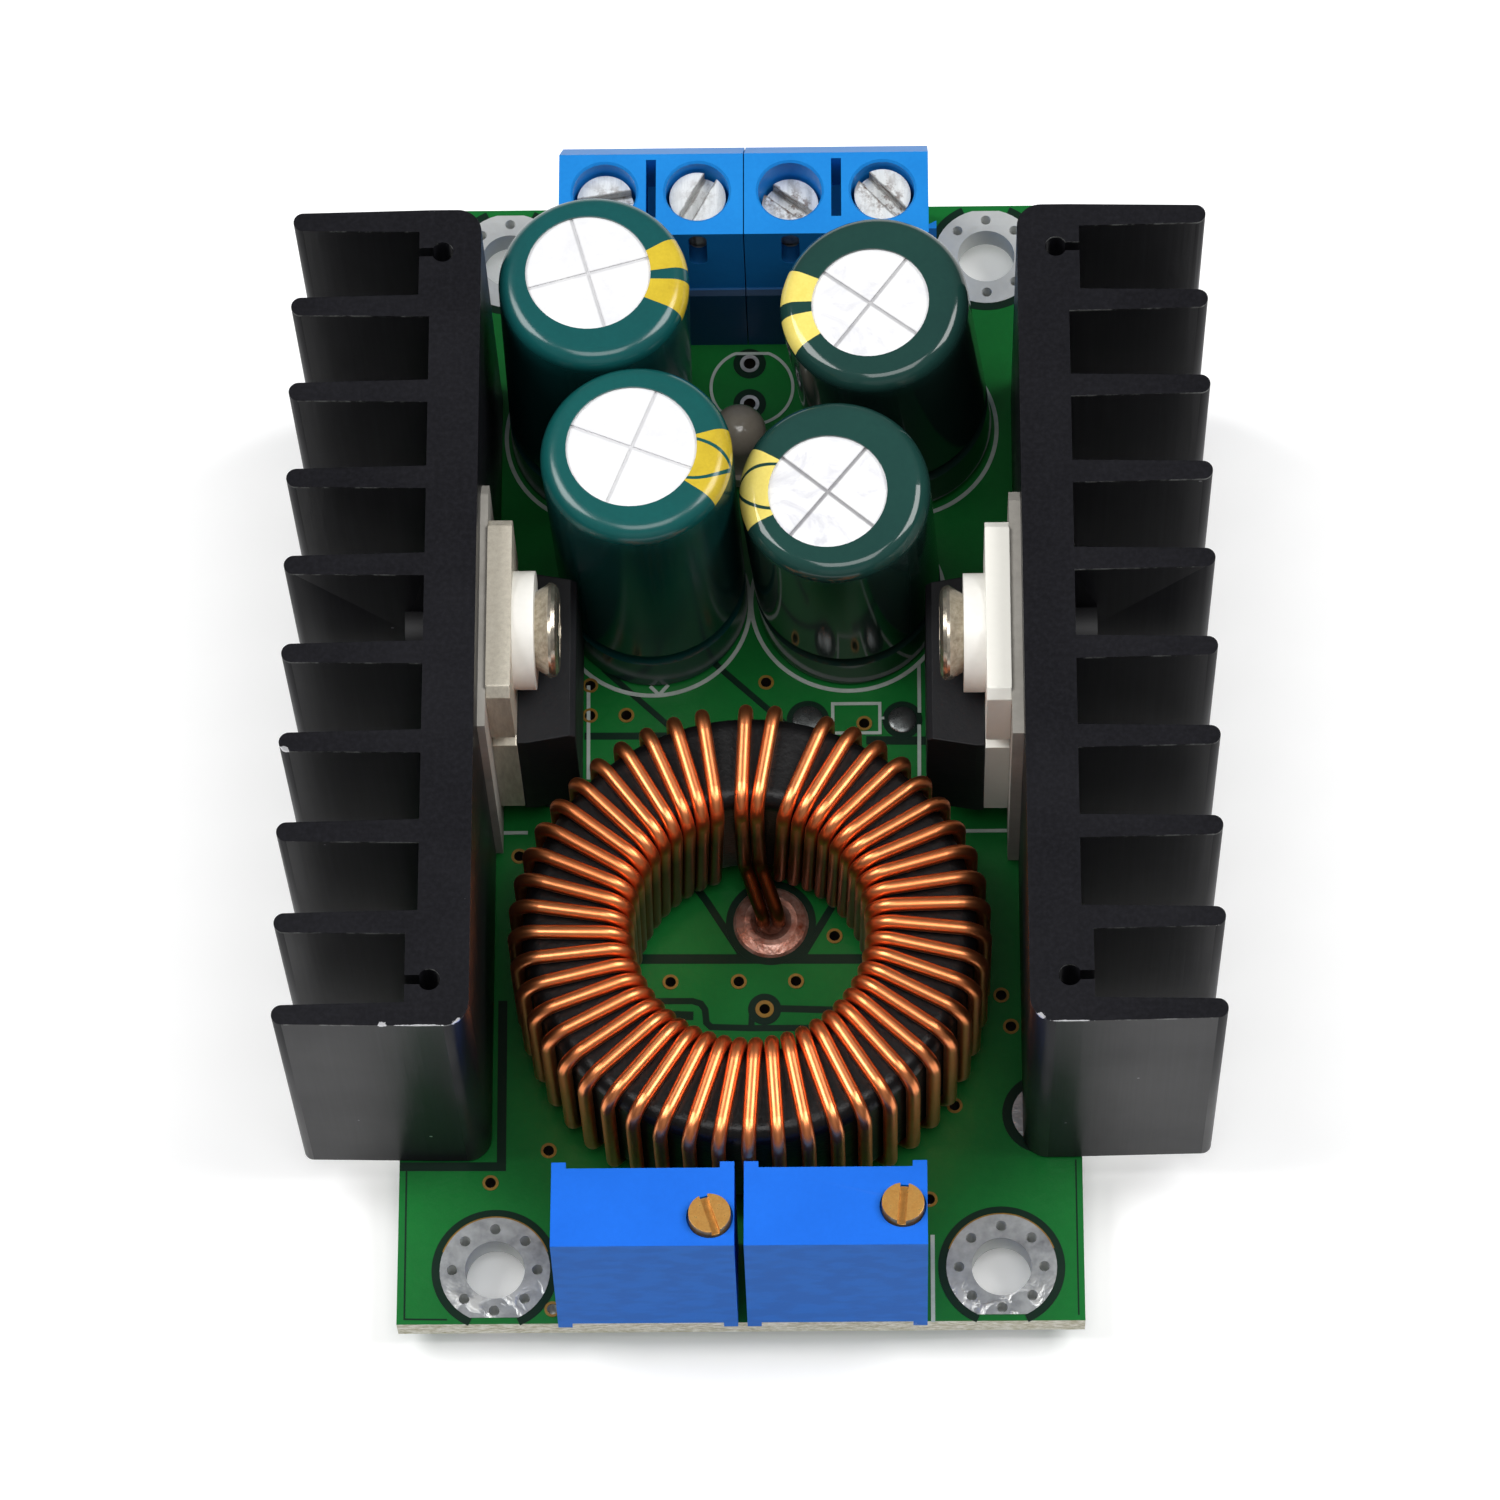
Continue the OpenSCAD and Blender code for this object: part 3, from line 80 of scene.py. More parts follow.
class Tree:
    """Adds nodes to a material or group and joins them."""

    def __init__(self, tree):
        self.tree = tree

    def node(self, kind, inputs=None, **settings):
        made = self.tree.nodes.new(kind)
        for key, value in settings.items():
            setattr(made, key, value)
        for key, value in (inputs or {}).items():
            self.feed(value, made.inputs[key])
        return made

    def feed(self, value, socket):
        if isinstance(value, bpy.types.NodeSocket):
            self.tree.links.new(value, socket)
        else:
            socket.default_value = value

    def group(self, tree, inputs):
        made = self.node("ShaderNodeGroup", node_tree=tree)
        for key, value in inputs.items():
            self.feed(value, made.inputs[key])
        return made.outputs

    def math(self, operation, a, b=0.0, c=0.0):
        return self.node("ShaderNodeMath", {0: a, 1: b, 2: c}, operation=operation).outputs[0]

    def times(self, first, *others):
        """Values or masks multiplied together."""
        for other in others:
            first = self.math("MULTIPLY", first, other)
        return first

    def mix(self, factor, a, b):
        made = self.node("ShaderNodeMix", data_type="RGBA")
        self.feed(factor, made.inputs["Factor"])
        self.feed(a, made.inputs["A"])
        self.feed(b, made.inputs["B"])
        return made.outputs["Result"]

    def spread(self, value, low, high, to_low=0.0, to_high=1.0):
        made = self.node("ShaderNodeMapRange", {
            "Value": value, "From Min": low, "From Max": high, "To Min": to_low, "To Max": to_high,
        })
        return made.outputs["Result"]

    def noise(self, vector, scale, detail=3.0, roughness=0.5, distortion=0.0):
        made = self.node("ShaderNodeTexNoise", {
            "Vector": vector, "Scale": scale, "Detail": detail, "Roughness": roughness,
            "Distortion": distortion,
        })
        return made.outputs["Fac"]

    def axes(self, vector):
        return self.node("ShaderNodeSeparateXYZ", {"Vector": vector}).outputs

    def across(self, x, y):
        """Length of the two sides together."""
        return self.math("SQRT", self.math("ADD", self.times(x, x), self.times(y, y)))

    def facing(self):
        """The direction the surface faces, along each axis."""
        return self.axes(self.node("ShaderNodeNewGeometry").outputs["Normal"])

    def where(self):
        """The place on the module at rest, in metres."""
        return self.node("ShaderNodeTexCoord").outputs["Object"]

    def stretched(self, scale=(1.0, 1.0, 1.0), rotation=(0.0, 0.0, 0.0)):
        made = self.node("ShaderNodeMapping", {"Vector": self.where(), "Scale": scale, "Rotation": rotation})
        return made.outputs["Vector"]

    def local(self, place, middle, turn):
        """A place in the frame that stands at middle, turned by turn."""
        made = self.node("ShaderNodeMapping", {
            "Vector": place, "Location": middle, "Rotation": turn,
        }, vector_type="TEXTURE")
        return made.outputs["Vector"]

    def vector(self, operation, a, b=(0.0, 0.0, 0.0)):
        return self.node("ShaderNodeVectorMath", {0: a, 1: b}, operation=operation).outputs


def new_group(name, inputs, outputs):
    """A node group with the sockets given: (label, kind, value) going in and (label, kind) coming out."""
    tree = bpy.data.node_groups.new(name, "ShaderNodeTree")
    for label, kind, value in inputs:
        socket = tree.interface.new_socket(label, in_out="INPUT", socket_type=kind)
        socket.default_value = value
    for label, kind in outputs:
        tree.interface.new_socket(label, in_out="OUTPUT", socket_type=kind)
    t = Tree(tree)
    return tree, t, t.node("NodeGroupInput").outputs, t.node("NodeGroupOutput").inputs


def linear(red, green, blue):
    """A colour given as it looks on a screen, 0 to 255, as the shaders take it."""
    def one(value):
        part = value / 255
        return part / 12.92 if part <= 0.04045 else ((part + 0.055) / 1.055) ** 2.4
    return (one(red), one(green), one(blue), 1.0)


def new_finish(name, metallic=0.0, roughness=0.5, **sockets):
    material = bpy.data.materials.new(name)
    material.use_nodes = True
    t = Tree(material.node_tree)
    shader = material.node_tree.nodes["Principled BSDF"]
    shader.inputs["Metallic"].default_value = metallic
    shader.inputs["Roughness"].default_value = roughness
    for key, value in sockets.items():
        shader.inputs[key.replace("_", " ").title().replace("Ior", "IOR")].default_value = value
    return material, t, shader


def bump(t, shader, height, strength, distance):
    made = t.node("ShaderNodeBump", {"Height": height, "Strength": strength, "Distance": distance})
    t.feed(made.outputs["Normal"], shader.inputs["Normal"])


# ---- Effects that several finishes share ----


def make_mottle():
    """Soft patches and fine grain: a colour that wanders between two, and a grain height."""
    tree, t, given, out = new_group(
        "mottle",
        [("Base", COLOR, (1, 1, 1, 1)), ("Other", COLOR, (0, 0, 0, 1)), ("Patch Scale", FLOAT, 200.0),
         ("Grain Scale", FLOAT, 3000.0), ("Amount", FLOAT, 0.5)],
        [("Color", COLOR), ("Patch", FLOAT), ("Grain", FLOAT)],
    )
    where = t.stretched()
    patch = t.noise(where, given["Patch Scale"], 4.0, 0.6)
    grain = t.noise(where, given["Grain Scale"], 2.0, 0.6)
    both = t.math("ADD", t.math("MULTIPLY", patch, 0.7), t.math("MULTIPLY", grain, 0.3))
    share = t.math("MULTIPLY", t.spread(both, 0.3, 0.7), given["Amount"])
    t.feed(t.mix(share, given["Base"], given["Other"]), out["Color"])
    t.feed(patch, out["Patch"])
    t.feed(grain, out["Grain"])
    return tree


def make_specks():
    """Sparse small specks of dust or chipped coating."""
    tree, t, given, out = new_group(
        "specks",
        [("Scale", FLOAT, 900.0), ("Size", FLOAT, 0.12), ("Share", FLOAT, 0.05)],
        [("Mask", FLOAT)],
    )
    cell = t.node("ShaderNodeTexVoronoi", {"Vector": t.stretched(), "Scale": given["Scale"]}).outputs
    near = t.math("LESS_THAN", cell["Distance"], given["Size"])
    pick = t.node("ShaderNodeSeparateColor", {"Color": cell["Color"]}).outputs["Red"]
    t.feed(t.times(near, t.math("LESS_THAN", pick, given["Share"])), out["Mask"])
    return tree


def make_nick():
    """A ragged spot round one point, where the coating is knocked off."""
    tree, t, given, out = new_group(
        "nick",
        [("Centre", VECTOR, (0, 0, 0)), ("Size", VECTOR, (1, 1, 1))],
        [("Mask", FLOAT)],
    )
    where = t.stretched()
    apart = t.vector("SUBTRACT", where, given["Centre"])["Vector"]
    share = t.vector("DIVIDE", apart, given["Size"])["Vector"]
    reach = t.vector("LENGTH", share)["Value"]
    rough = t.math("MULTIPLY", t.noise(where, 5000.0, 3.0, 0.7), 1.2)
    t.feed(t.math("LESS_THAN", t.math("ADD", reach, rough), 1.3), out["Mask"])
    return tree


def make_scratches():
    """Fine scratches, drawn out and turned as asked."""
    tree, t, given, out = new_group(
        "scratches",
        [("Stretch", VECTOR, (1, 1, 1)), ("Turn", VECTOR, (0, 0, 0)), ("Scale", FLOAT, 3000.0)],
        [("Height", FLOAT)],
    )
    where = t.stretched(given["Stretch"], given["Turn"])
    t.feed(t.noise(where, given["Scale"], 4.0, 0.7), out["Height"])
    return tree


def make_die_lines():
    """Faint lines that the die leaves along an extrusion."""
    tree, t, given, out = new_group("die lines", [("Scale", FLOAT, 4000.0)], [("Height", FLOAT)])
    along = t.stretched(scale=(1.0, 1.0, 0.02))
    t.feed(t.noise(along, given["Scale"], 3.0, 0.6), out["Height"])
    return tree


def make_rubbed_edge():
    """Front edges at the top of the fins, rubbed here and there."""
    tree, t, given, out = new_group(
        "rubbed edge",
        [("Top", FLOAT, 0.0), ("Facing", FLOAT, 0.0)],
        [("Mask", FLOAT)],
    )
    band = t.math("SUBTRACT", given["Top"], 0.14 * MM)
    edge = t.times(t.math("GREATER_THAN", t.axes(t.where())["Z"], band),
                  t.math("LESS_THAN", given["Facing"], -0.3))
    patchy = t.spread(t.noise(t.stretched(), 750.0, 4.0, 0.7), 0.48, 0.6, 0.0, 0.8)
    t.feed(t.times(edge, patchy), out["Mask"])
    return tree


def make_can_place():
    """Angle, radius and height in the frame of one capacitor, from its foot and its lean."""
    tree, t, given, out = new_group(
        "can place",
        [("Foot", VECTOR, (0, 0, 0)), ("Lean", VECTOR, (0, 0, 0))],
        [("Angle", FLOAT), ("Radius", FLOAT), ("Height", FLOAT), ("Place", VECTOR)],
    )
    place = t.local(t.where(), given["Foot"], given["Lean"])
    x, y, z = t.axes(place)
    t.feed(t.math("DEGREES", t.math("ARCTAN2", y, x)), out["Angle"])
    t.feed(t.across(x, y), out["Radius"])
    t.feed(z, out["Height"])
    t.feed(place, out["Place"])
    return tree


def make_gold_blocks():
    """Two gold blocks side by side with a bar of the sleeve between them, down to one height."""
    tree, t, given, out = new_group(
        "gold blocks",
        [("Angle", FLOAT, 0.0), ("Height", FLOAT, 0.0), ("Centre", FLOAT, 0.0), ("Half", FLOAT, 28.0),
         ("Gap", FLOAT, 5.0), ("Lowest", FLOAT, 0.0)],
        [("Mask", FLOAT)],
    )
    turned = t.math("WRAP", t.math("SUBTRACT", given["Angle"], given["Centre"]), 180.0, -180.0)
    away = t.math("ABSOLUTE", turned)
    mask = t.times(t.math("GREATER_THAN", away, given["Gap"]), t.math("LESS_THAN", away, given["Half"]),
                  t.math("GREATER_THAN", given["Height"], given["Lowest"]))
    t.feed(mask, out["Mask"])
    return tree


def make_gold_lens():
    """A gold lens, wide at the disc and pointed at the rim, between two gold corners, down to one height."""
    tree, t, given, out = new_group(
        "gold lens",
        [("Angle", FLOAT, 0.0), ("Radius", FLOAT, 0.0), ("Height", FLOAT, 0.0), ("Centre", FLOAT, 0.0),
         ("Half", FLOAT, 26.0), ("Wide", FLOAT, 22.0), ("Power", FLOAT, 0.6), ("Gap", FLOAT, 1.5),
         ("Lowest", FLOAT, 0.0)],
        [("Mask", FLOAT)],
    )
    turned = t.math("WRAP", t.math("SUBTRACT", given["Angle"], given["Centre"]), 180.0, -180.0)
    away = t.math("ABSOLUTE", turned)
    left = t.spread(given["Radius"], 3.2 * MM, 5.1 * MM, 1.0, 0.0)
    edge = t.math("MULTIPLY", t.math("POWER", left, given["Power"]), given["Wide"])
    line = t.math("ABSOLUTE", t.math("SUBTRACT", away, edge))
    mask = t.times(t.math("LESS_THAN", away, given["Half"]),
                  t.math("GREATER_THAN", given["Height"], given["Lowest"]),
                  t.math("GREATER_THAN", line, given["Gap"]))
    t.feed(mask, out["Mask"])
    return tree


def make_scored_cross():
    """Painted shade along the cross scored into a can's top, and the patches where the top is rubbed."""
    tree, t, given, out = new_group(
        "scored cross",
        [("Place", VECTOR, (0, 0, 0)), ("Middle", VECTOR, (0, 0, 0)), ("Bearing", VECTOR, (0, 0, 0))],
        [("Groove Shade", FLOAT), ("Rubbed", FLOAT)],
    )
    x, y, z = t.axes(t.local(given["Place"], given["Middle"], given["Bearing"]))
    nearest = t.math("MINIMUM", t.math("ABSOLUTE", x), t.math("ABSOLUTE", y))
    # Painted shade along the scored grooves.
    t.feed(t.spread(nearest, 0.05 * MM, 0.16 * MM, 1.0, 0.0), out["Groove Shade"])
    t.feed(t.spread(t.noise(given["Place"], 420.0, 4.0, 0.65, 1.0), 0.46, 0.62), out["Rubbed"])
    return tree


def make_slot_shade_and_soil():
    """Painted shade along the lips of a screw's slot, and the soil that gathers in and beside it."""
    tree, t, given, out = new_group(
        "slot shade and soil",
        [("Middle", VECTOR, (0, 0, 0)), ("Bearing", VECTOR, (0, 0, 0))],
        [("Lip Shade", FLOAT), ("Soil", FLOAT)],
    )
    place = t.local(t.where(), given["Middle"], given["Bearing"])
    ragged = t.math("SUBTRACT", t.noise(t.stretched(), 1500.0, 3.0, 0.6), 0.5)
    wander = t.math("MULTIPLY", ragged, 0.25 * MM)
    off = t.math("ABSOLUTE", t.math("ADD", t.axes(place)["Y"], wander))
    # Painted shade: a dark band along each lip of the slot.
    from_lip = t.math("ABSOLUTE", t.math("SUBTRACT", off, 0.36 * MM))
    t.feed(t.spread(from_lip, 0.05 * MM, 0.13 * MM, 1.0, 0.0), out["Lip Shade"])
    blot = t.spread(t.noise(place, 1100.0, 4.0, 0.7), 0.5, 0.6)
    t.feed(t.times(blot, t.spread(off, 0.3 * MM, 1.1 * MM, 1.0, 0.25)), out["Soil"])
    return tree


MOTTLE = make_mottle()
SPECKS = make_specks()
NICK = make_nick()
SCRATCHES = make_scratches()
DIE_LINES = make_die_lines()
RUBBED_EDGE = make_rubbed_edge()
CAN_PLACE = make_can_place()
GOLD_BLOCKS = make_gold_blocks()
GOLD_LENS = make_gold_lens()
SCORED_CROSS = make_scored_cross()
SLOT_SHADE_AND_SOIL = make_slot_shade_and_soil()


def mottled(t, base, other, patch=200.0, grain=3000.0, amount=0.5):
    return t.group(MOTTLE, {
        "Base": base, "Other": other, "Patch Scale": patch, "Grain Scale": grain, "Amount": amount,
    })


def specked(t, scale, size, share):
    return t.group(SPECKS, {"Scale": scale, "Size": size, "Share": share})["Mask"]


def scratched(t, scale, stretch=(1.0, 1.0, 1.0), turn=(0.0, 0.0, 0.0)):
    return t.group(SCRATCHES, {"Stretch": stretch, "Turn": turn, "Scale": scale})["Height"]


# ---- Finishes ----

EDGE_BAND = 0.1 * MM


def plain_finish(name, base, other, metallic=0.0, roughness=0.5, patch=300.0, grain=3000.0, amount=0.6,
                 grain_strength=0.1, grain_height=0.00005, **sockets):
    """A finish whose colour wanders a little and whose surface has fine grain."""
    material, t, shader = new_finish(name, metallic, roughness, **sockets)
    look = mottled(t, base, other, patch, grain, amount)
    t.feed(look["Color"], shader.inputs["Base Color"])
    t.feed(t.spread(look["Patch"], 0.3, 0.7, roughness * 0.8, roughness * 1.2), shader.inputs["Roughness"])
    bump(t, shader, look["Grain"], grain_strength, grain_height)
    return material


def brushed(name, base, other, metallic, roughness, strength):
    """Bare metal with fine crossing scratches."""
    material, t, shader = new_finish(name, metallic, roughness)
    scratch = scratched(t, 3000.0, stretch=(1.0, 1.0, 0.2))
    t.feed(t.mix(t.spread(scratch, 0.3, 0.7), base, other), shader.inputs["Base Color"])
    t.feed(t.spread(scratch, 0.3, 0.7, roughness * 0.8, roughness * 1.25), shader.inputs["Roughness"])
    bump(t, shader, scratch, strength, 0.00005)
    return material


def solder_mask():
    """Satin green mask, with raw glass fibre at the sawn edges, pale plated walls in the mounting holes and
    via walls painted near-black brown as painted shade.
    """
    material, t, shader = new_finish("solder mask", roughness=0.32, specular_ior_level=0.25)
    look = mottled(t, linear(16, 110, 44), linear(11, 92, 37), 90.0, 2500.0, 0.7)
    wall = t.math("LESS_THAN", t.math("ABSOLUTE", t.facing()["Z"]), 0.5)
    x, y, z = t.axes(t.where())
    middle = (board_low + board_high) / 2
    half = (board_high - board_low) / 2
    reach_x = t.math("ABSOLUTE", t.math("SUBTRACT", x, middle.x))
    reach_y = t.math("ABSOLUTE", t.math("SUBTRACT", y, middle.y))
    sawn = t.math("MAXIMUM", t.math("GREATER_THAN", reach_x, half.x - EDGE_BAND),
                  t.math("GREATER_THAN", reach_y, half.y - EDGE_BAND))
    weave = t.noise(t.stretched(scale=(1.0, 1.0, 3.0)), 2200.0, 4.0, 0.7)
    fibre = t.mix(t.spread(weave, 0.35, 0.65), linear(176, 170, 138), linear(244, 242, 232))
    near_mounts = t.math("GREATER_THAN", reach_y, 27.0 * MM)
    # Painted shade: the via hole walls are near-black brown; the mounting holes' plated walls stay pale.
    plated_and_shaded_walls = t.mix(near_mounts, linear(34, 22, 12), linear(205, 207, 205))
    colour = t.mix(wall, look["Color"], t.mix(sawn, plated_and_shaded_walls, fibre))
    t.feed(colour, shader.inputs["Base Color"])
    t.feed(t.math("ADD", t.math("MULTIPLY", wall, 0.45), 0.3), shader.inputs["Roughness"])
    bump(t, shader, weave, 0.15, 0.0001)
    return material


def anodised(name, top, nicks):
    """Black anodised extrusion: die lines, dust, rubbed top edges and the nicks of handling."""
    material, t, shader = new_finish(name, roughness=0.34, specular_ior_level=0.1)
    lines = t.group(DIE_LINES, {})["Height"]
    look = mottled(t, linear(18, 18, 21), linear(25, 25, 29), 120.0, 3500.0, 0.8)
    colour = t.mix(t.spread(lines, 0.4, 0.75, 0.0, 0.35), look["Color"], linear(40, 40, 45))
    dust = t.math("MULTIPLY", specked(t, 1100.0, 0.10, 0.018), 0.5)
    colour = t.mix(dust, colour, linear(150, 150, 155))
    rubbed = t.group(RUBBED_EDGE, {"Top": top, "Facing": t.facing()["Y"]})["Mask"]
    colour = t.mix(rubbed, colour, linear(120, 122, 120))
    bare = 0.0
    for centre, size in nicks:
        mask = t.group(NICK, {"Centre": centre, "Size": size})["Mask"]
        bare = t.math("MAXIMUM", bare, mask)
    t.feed(t.mix(bare, colour, linear(205, 205, 208)), shader.inputs["Base Color"])
    t.feed(t.math("MULTIPLY", bare, 0.8), shader.inputs["Metallic"])
    t.feed(t.spread(look["Patch"], 0.3, 0.7, 0.28, 0.38), shader.inputs["Roughness"])
    bump(t, shader, lines, 0.12, 0.00005)
    return material


def wire_copper():
    """Enamelled copper: warm and glossy, with painted shade turning it dark brown down the wall of the hole.
    """
    material, t, shader = new_finish("enamelled copper", metallic=1.0, roughness=0.34)
    look = mottled(t, linear(252, 160, 104), linear(236, 132, 78), 160.0, 2600.0, 0.9)
    x, y, z = t.axes(t.vector("SUBTRACT", t.where(), on_board(*CHOKE_MIDDLE))["Vector"])
    # Painted shade: the inner wall of the hole turns dark brown, more so lower down.
    inner_wall = t.spread(t.across(x, y), 6.4 * MM, 7.4 * MM, 1.0, 0.0)
    hole_shade = t.spread(z, 9.9 * MM, 7.5 * MM, 0.0, 0.8)
    colour = t.mix(t.times(inner_wall, hole_shade), look["Color"], linear(84, 60, 34))
    t.feed(colour, shader.inputs["Base Color"])
    t.feed(t.spread(look["Patch"], 0.3, 0.7, 0.3, 0.4), shader.inputs["Roughness"])
    bump(t, shader, t.noise(t.stretched(), 900.0, 2.0), 0.12, 0.0001)
    return material


def tinned_pad():
    """Tinned copper, dull and streaked, brighter towards the terminals and with smears of solder."""
    material, t, shader = new_finish("tinned pad", metallic=0.55, roughness=0.36)
    look = mottled(t, linear(190, 193, 193), linear(98, 100, 104), 480.0, 1800.0, 0.95)
    y = t.axes(t.where())["Y"]
    rear = t.spread(y, -0.02, 0.02, 0.0, 0.7)
    colour = t.mix(rear, look["Color"], linear(226, 228, 226))
    front = t.spread(y, on_board(0, 0.3).y, on_board(0, 2.8).y, 1.0, 0.0)
    smear = t.times(t.spread(t.noise(t.stretched(), 800.0, 3.0, 0.5, 0.6), 0.48, 0.6), front)
    t.feed(t.mix(smear, colour, linear(222, 222, 218)), shader.inputs["Base Color"])
    t.feed(t.spread(look["Patch"], 0.3, 0.7, 0.28, 0.44), shader.inputs["Roughness"])
    bump(t, shader, t.math("ADD", look["Patch"], smear), 0.25, 0.0002)
    return material


def solder_finish():
    """Bright solder, pinkish where it has wetted the choke's copper pad and darker towards that pad's
    middle.
    """
    material, t, shader = new_finish("solder", metallic=0.6, roughness=0.3)
    look = mottled(t, linear(200, 202, 204), linear(140, 142, 146), 500.0, 1800.0, 0.7)
    pad = mottled(t, linear(226, 190, 176), linear(142, 76, 52), 900.0, 2600.0, 1.0)
    away = t.vector("DISTANCE", t.where(), on_board(*CHOKE_PAD))["Value"]
    near = t.math("LESS_THAN", away, 2.3 * MM)
    # The pad's colour darkens towards its middle.
    darker_pad_middle = t.spread(away, 0.7 * MM, 1.5 * MM, 0.85, 0.0)
    copper_pad = t.mix(darker_pad_middle, pad["Color"], linear(66, 36, 24))
    t.feed(t.mix(near, look["Color"], copper_pad), shader.inputs["Base Color"])
    t.feed(t.spread(look["Patch"], 0.3, 0.7, 0.24, 0.4), shader.inputs["Roughness"])
    bump(t, shader, look["Grain"], 0.3, 0.0002)
    return material


def blue_housing():
    """Moulded blue plastic with a faint eggshell surface and scuffs; ledges, hole floors and the foot of the
    front face are darkened as painted shade.
    """
    material, t, shader = new_finish("terminal plastic", roughness=0.45, specular_ior_level=0.12)
    look = mottled(t, linear(30, 132, 210), linear(22, 116, 194), 200.0, 4000.0, 0.8)
    scuff = t.math("MULTIPLY", specked(t, 1600.0, 0.10, 0.02), 0.4)
    colour = t.mix(scuff, look["Color"], linear(190, 205, 225))
    low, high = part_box("terminal_housing_left")
    x, y, z = t.axes(t.where())
    # Painted shade: upward faces below the top near the front, the ledge and the hole floors, are darkened
    # to deep navy.
    ledge_shade = t.times(t.math("LESS_THAN", z, high.z - 0.4 * MM), t.math("LESS_THAN", y, low.y + 2.4 * MM),
                    t.math("GREATER_THAN", t.facing()["Z"], 0.2))
    colour = t.mix(t.math("MULTIPLY", ledge_shade, 0.7), colour, linear(4, 30, 56))
    # Painted shade: the lower part of the front face, the foot, is darkened to near black.
    foot = t.times(t.math("LESS_THAN", z, board_high.z + 6.35 * MM),
                   t.math("LESS_THAN", y, low.y + 1.0 * MM))
    t.feed(t.mix(t.math("MULTIPLY", foot, 0.75), colour, linear(18, 26, 30)), shader.inputs["Base Color"])
    bump(t, shader, look["Grain"], 0.12, 0.00005)
    return material


def trimmer_plastic():
    """Bright blue moulding with a faintly uneven front face painted darker than the top as painted shade,
    and a pale scuff low on it.
    """
    material, t, shader = new_finish("trimmer plastic", roughness=0.45, specular_ior_level=0.1)
    look = mottled(t, linear(30, 108, 222), linear(26, 98, 206), 220.0, 3600.0, 0.7)
    # Painted shade: the front face gets a darker blue than the top.
    front = t.math("LESS_THAN", t.facing()["Y"], -0.7)
    cells = t.noise(t.stretched(scale=(1.0, 1.0, 2.2)), 620.0, 2.0, 0.4)
    front_shade_blue = t.mix(t.spread(cells, 0.42, 0.58), linear(0, 101, 198), linear(4, 108, 208))
    colour = t.mix(front, look["Color"], front_shade_blue)
    scuff = t.group(NICK, {
        "Centre": on_board(8.6, 0.0, 0.6), "Size": (1.3 * MM, 1.0 * MM, 0.6 * MM),
    })["Mask"]
    worn = t.spread(t.noise(t.stretched(), 3500.0, 4.0, 0.7), 0.45, 0.7)
    rubbed = t.math("MULTIPLY", t.times(worn, scuff), 0.6)
    t.feed(t.mix(rubbed, colour, linear(170, 190, 220)), shader.inputs["Base Color"])
    bump(t, shader, look["Grain"], 0.15, 0.00005)
    return material


def zinc_screw(name, middle, bearing, stain):
    """Zinc plated steel, with painted shade along the slot's lips and brown stains on some of the heads."""
    material, t, shader = new_finish(name, metallic=0.4, roughness=0.38)
    slot = t.group(SLOT_SHADE_AND_SOIL, {"Middle": middle, "Bearing": (0.0, 0.0, math.radians(bearing))})
    scratch = scratched(t, 2600.0, stretch=(1.0, 0.12, 1.0), turn=(0.0, 0.0, 0.7))
    colour = t.mix(t.spread(scratch, 0.3, 0.7), linear(246, 248, 248), linear(208, 212, 212))
    # Painted shade along the slot's lips.
    colour = t.mix(t.math("MULTIPLY", slot["Lip Shade"], 0.7), colour, linear(84, 80, 74))
    colour = t.mix(t.math("MULTIPLY", slot["Soil"], stain), colour, linear(84, 50, 26))
    t.feed(colour, shader.inputs["Base Color"])
    bump(t, shader, scratch, 0.3, 0.0001)
    return material


def tab_screw_steel():
    """Plated pan heads; where the screws come through into the heatsinks' bays the thread is painted near
    black and dull as painted shade.
    """
    material, t, shader = new_finish("plated screw", metallic=0.9, roughness=0.24)
    scratch = scratched(t, 3000.0)
    plating = t.mix(t.spread(scratch, 0.3, 0.7), linear(226, 217, 200), linear(170, 160, 143))
    x = t.axes(t.where())["X"]
    # Painted shade: the thread inside the heatsinks' bays is near black and dull.
    through_in_shade = t.math("MAXIMUM", t.math("LESS_THAN", x, left_high.x - 1.0 * MM),
                     t.math("GREATER_THAN", x, right_low.x + 1.0 * MM))
    t.feed(t.mix(through_in_shade, plating, linear(30, 30, 32)), shader.inputs["Base Color"])
    t.feed(t.spread(through_in_shade, 0.0, 1.0, 0.9, 0.0), shader.inputs["Metallic"])
    t.feed(t.spread(through_in_shade, 0.0, 1.0, 0.24, 0.6), shader.inputs["Roughness"])
    bump(t, shader, scratch, 0.15, 0.00005)
    return material


def lamp_resin():
    """Clear grey resin of the unlit lamp."""
    material, t, shader = new_finish("lamp resin", roughness=0.2, coat_weight=0.5, coat_roughness=0.1)
    look = mottled(t, linear(178, 168, 153), linear(142, 133, 120), 400.0, 2500.0, 0.6)
    t.feed(look["Color"], shader.inputs["Base Color"])
    return material


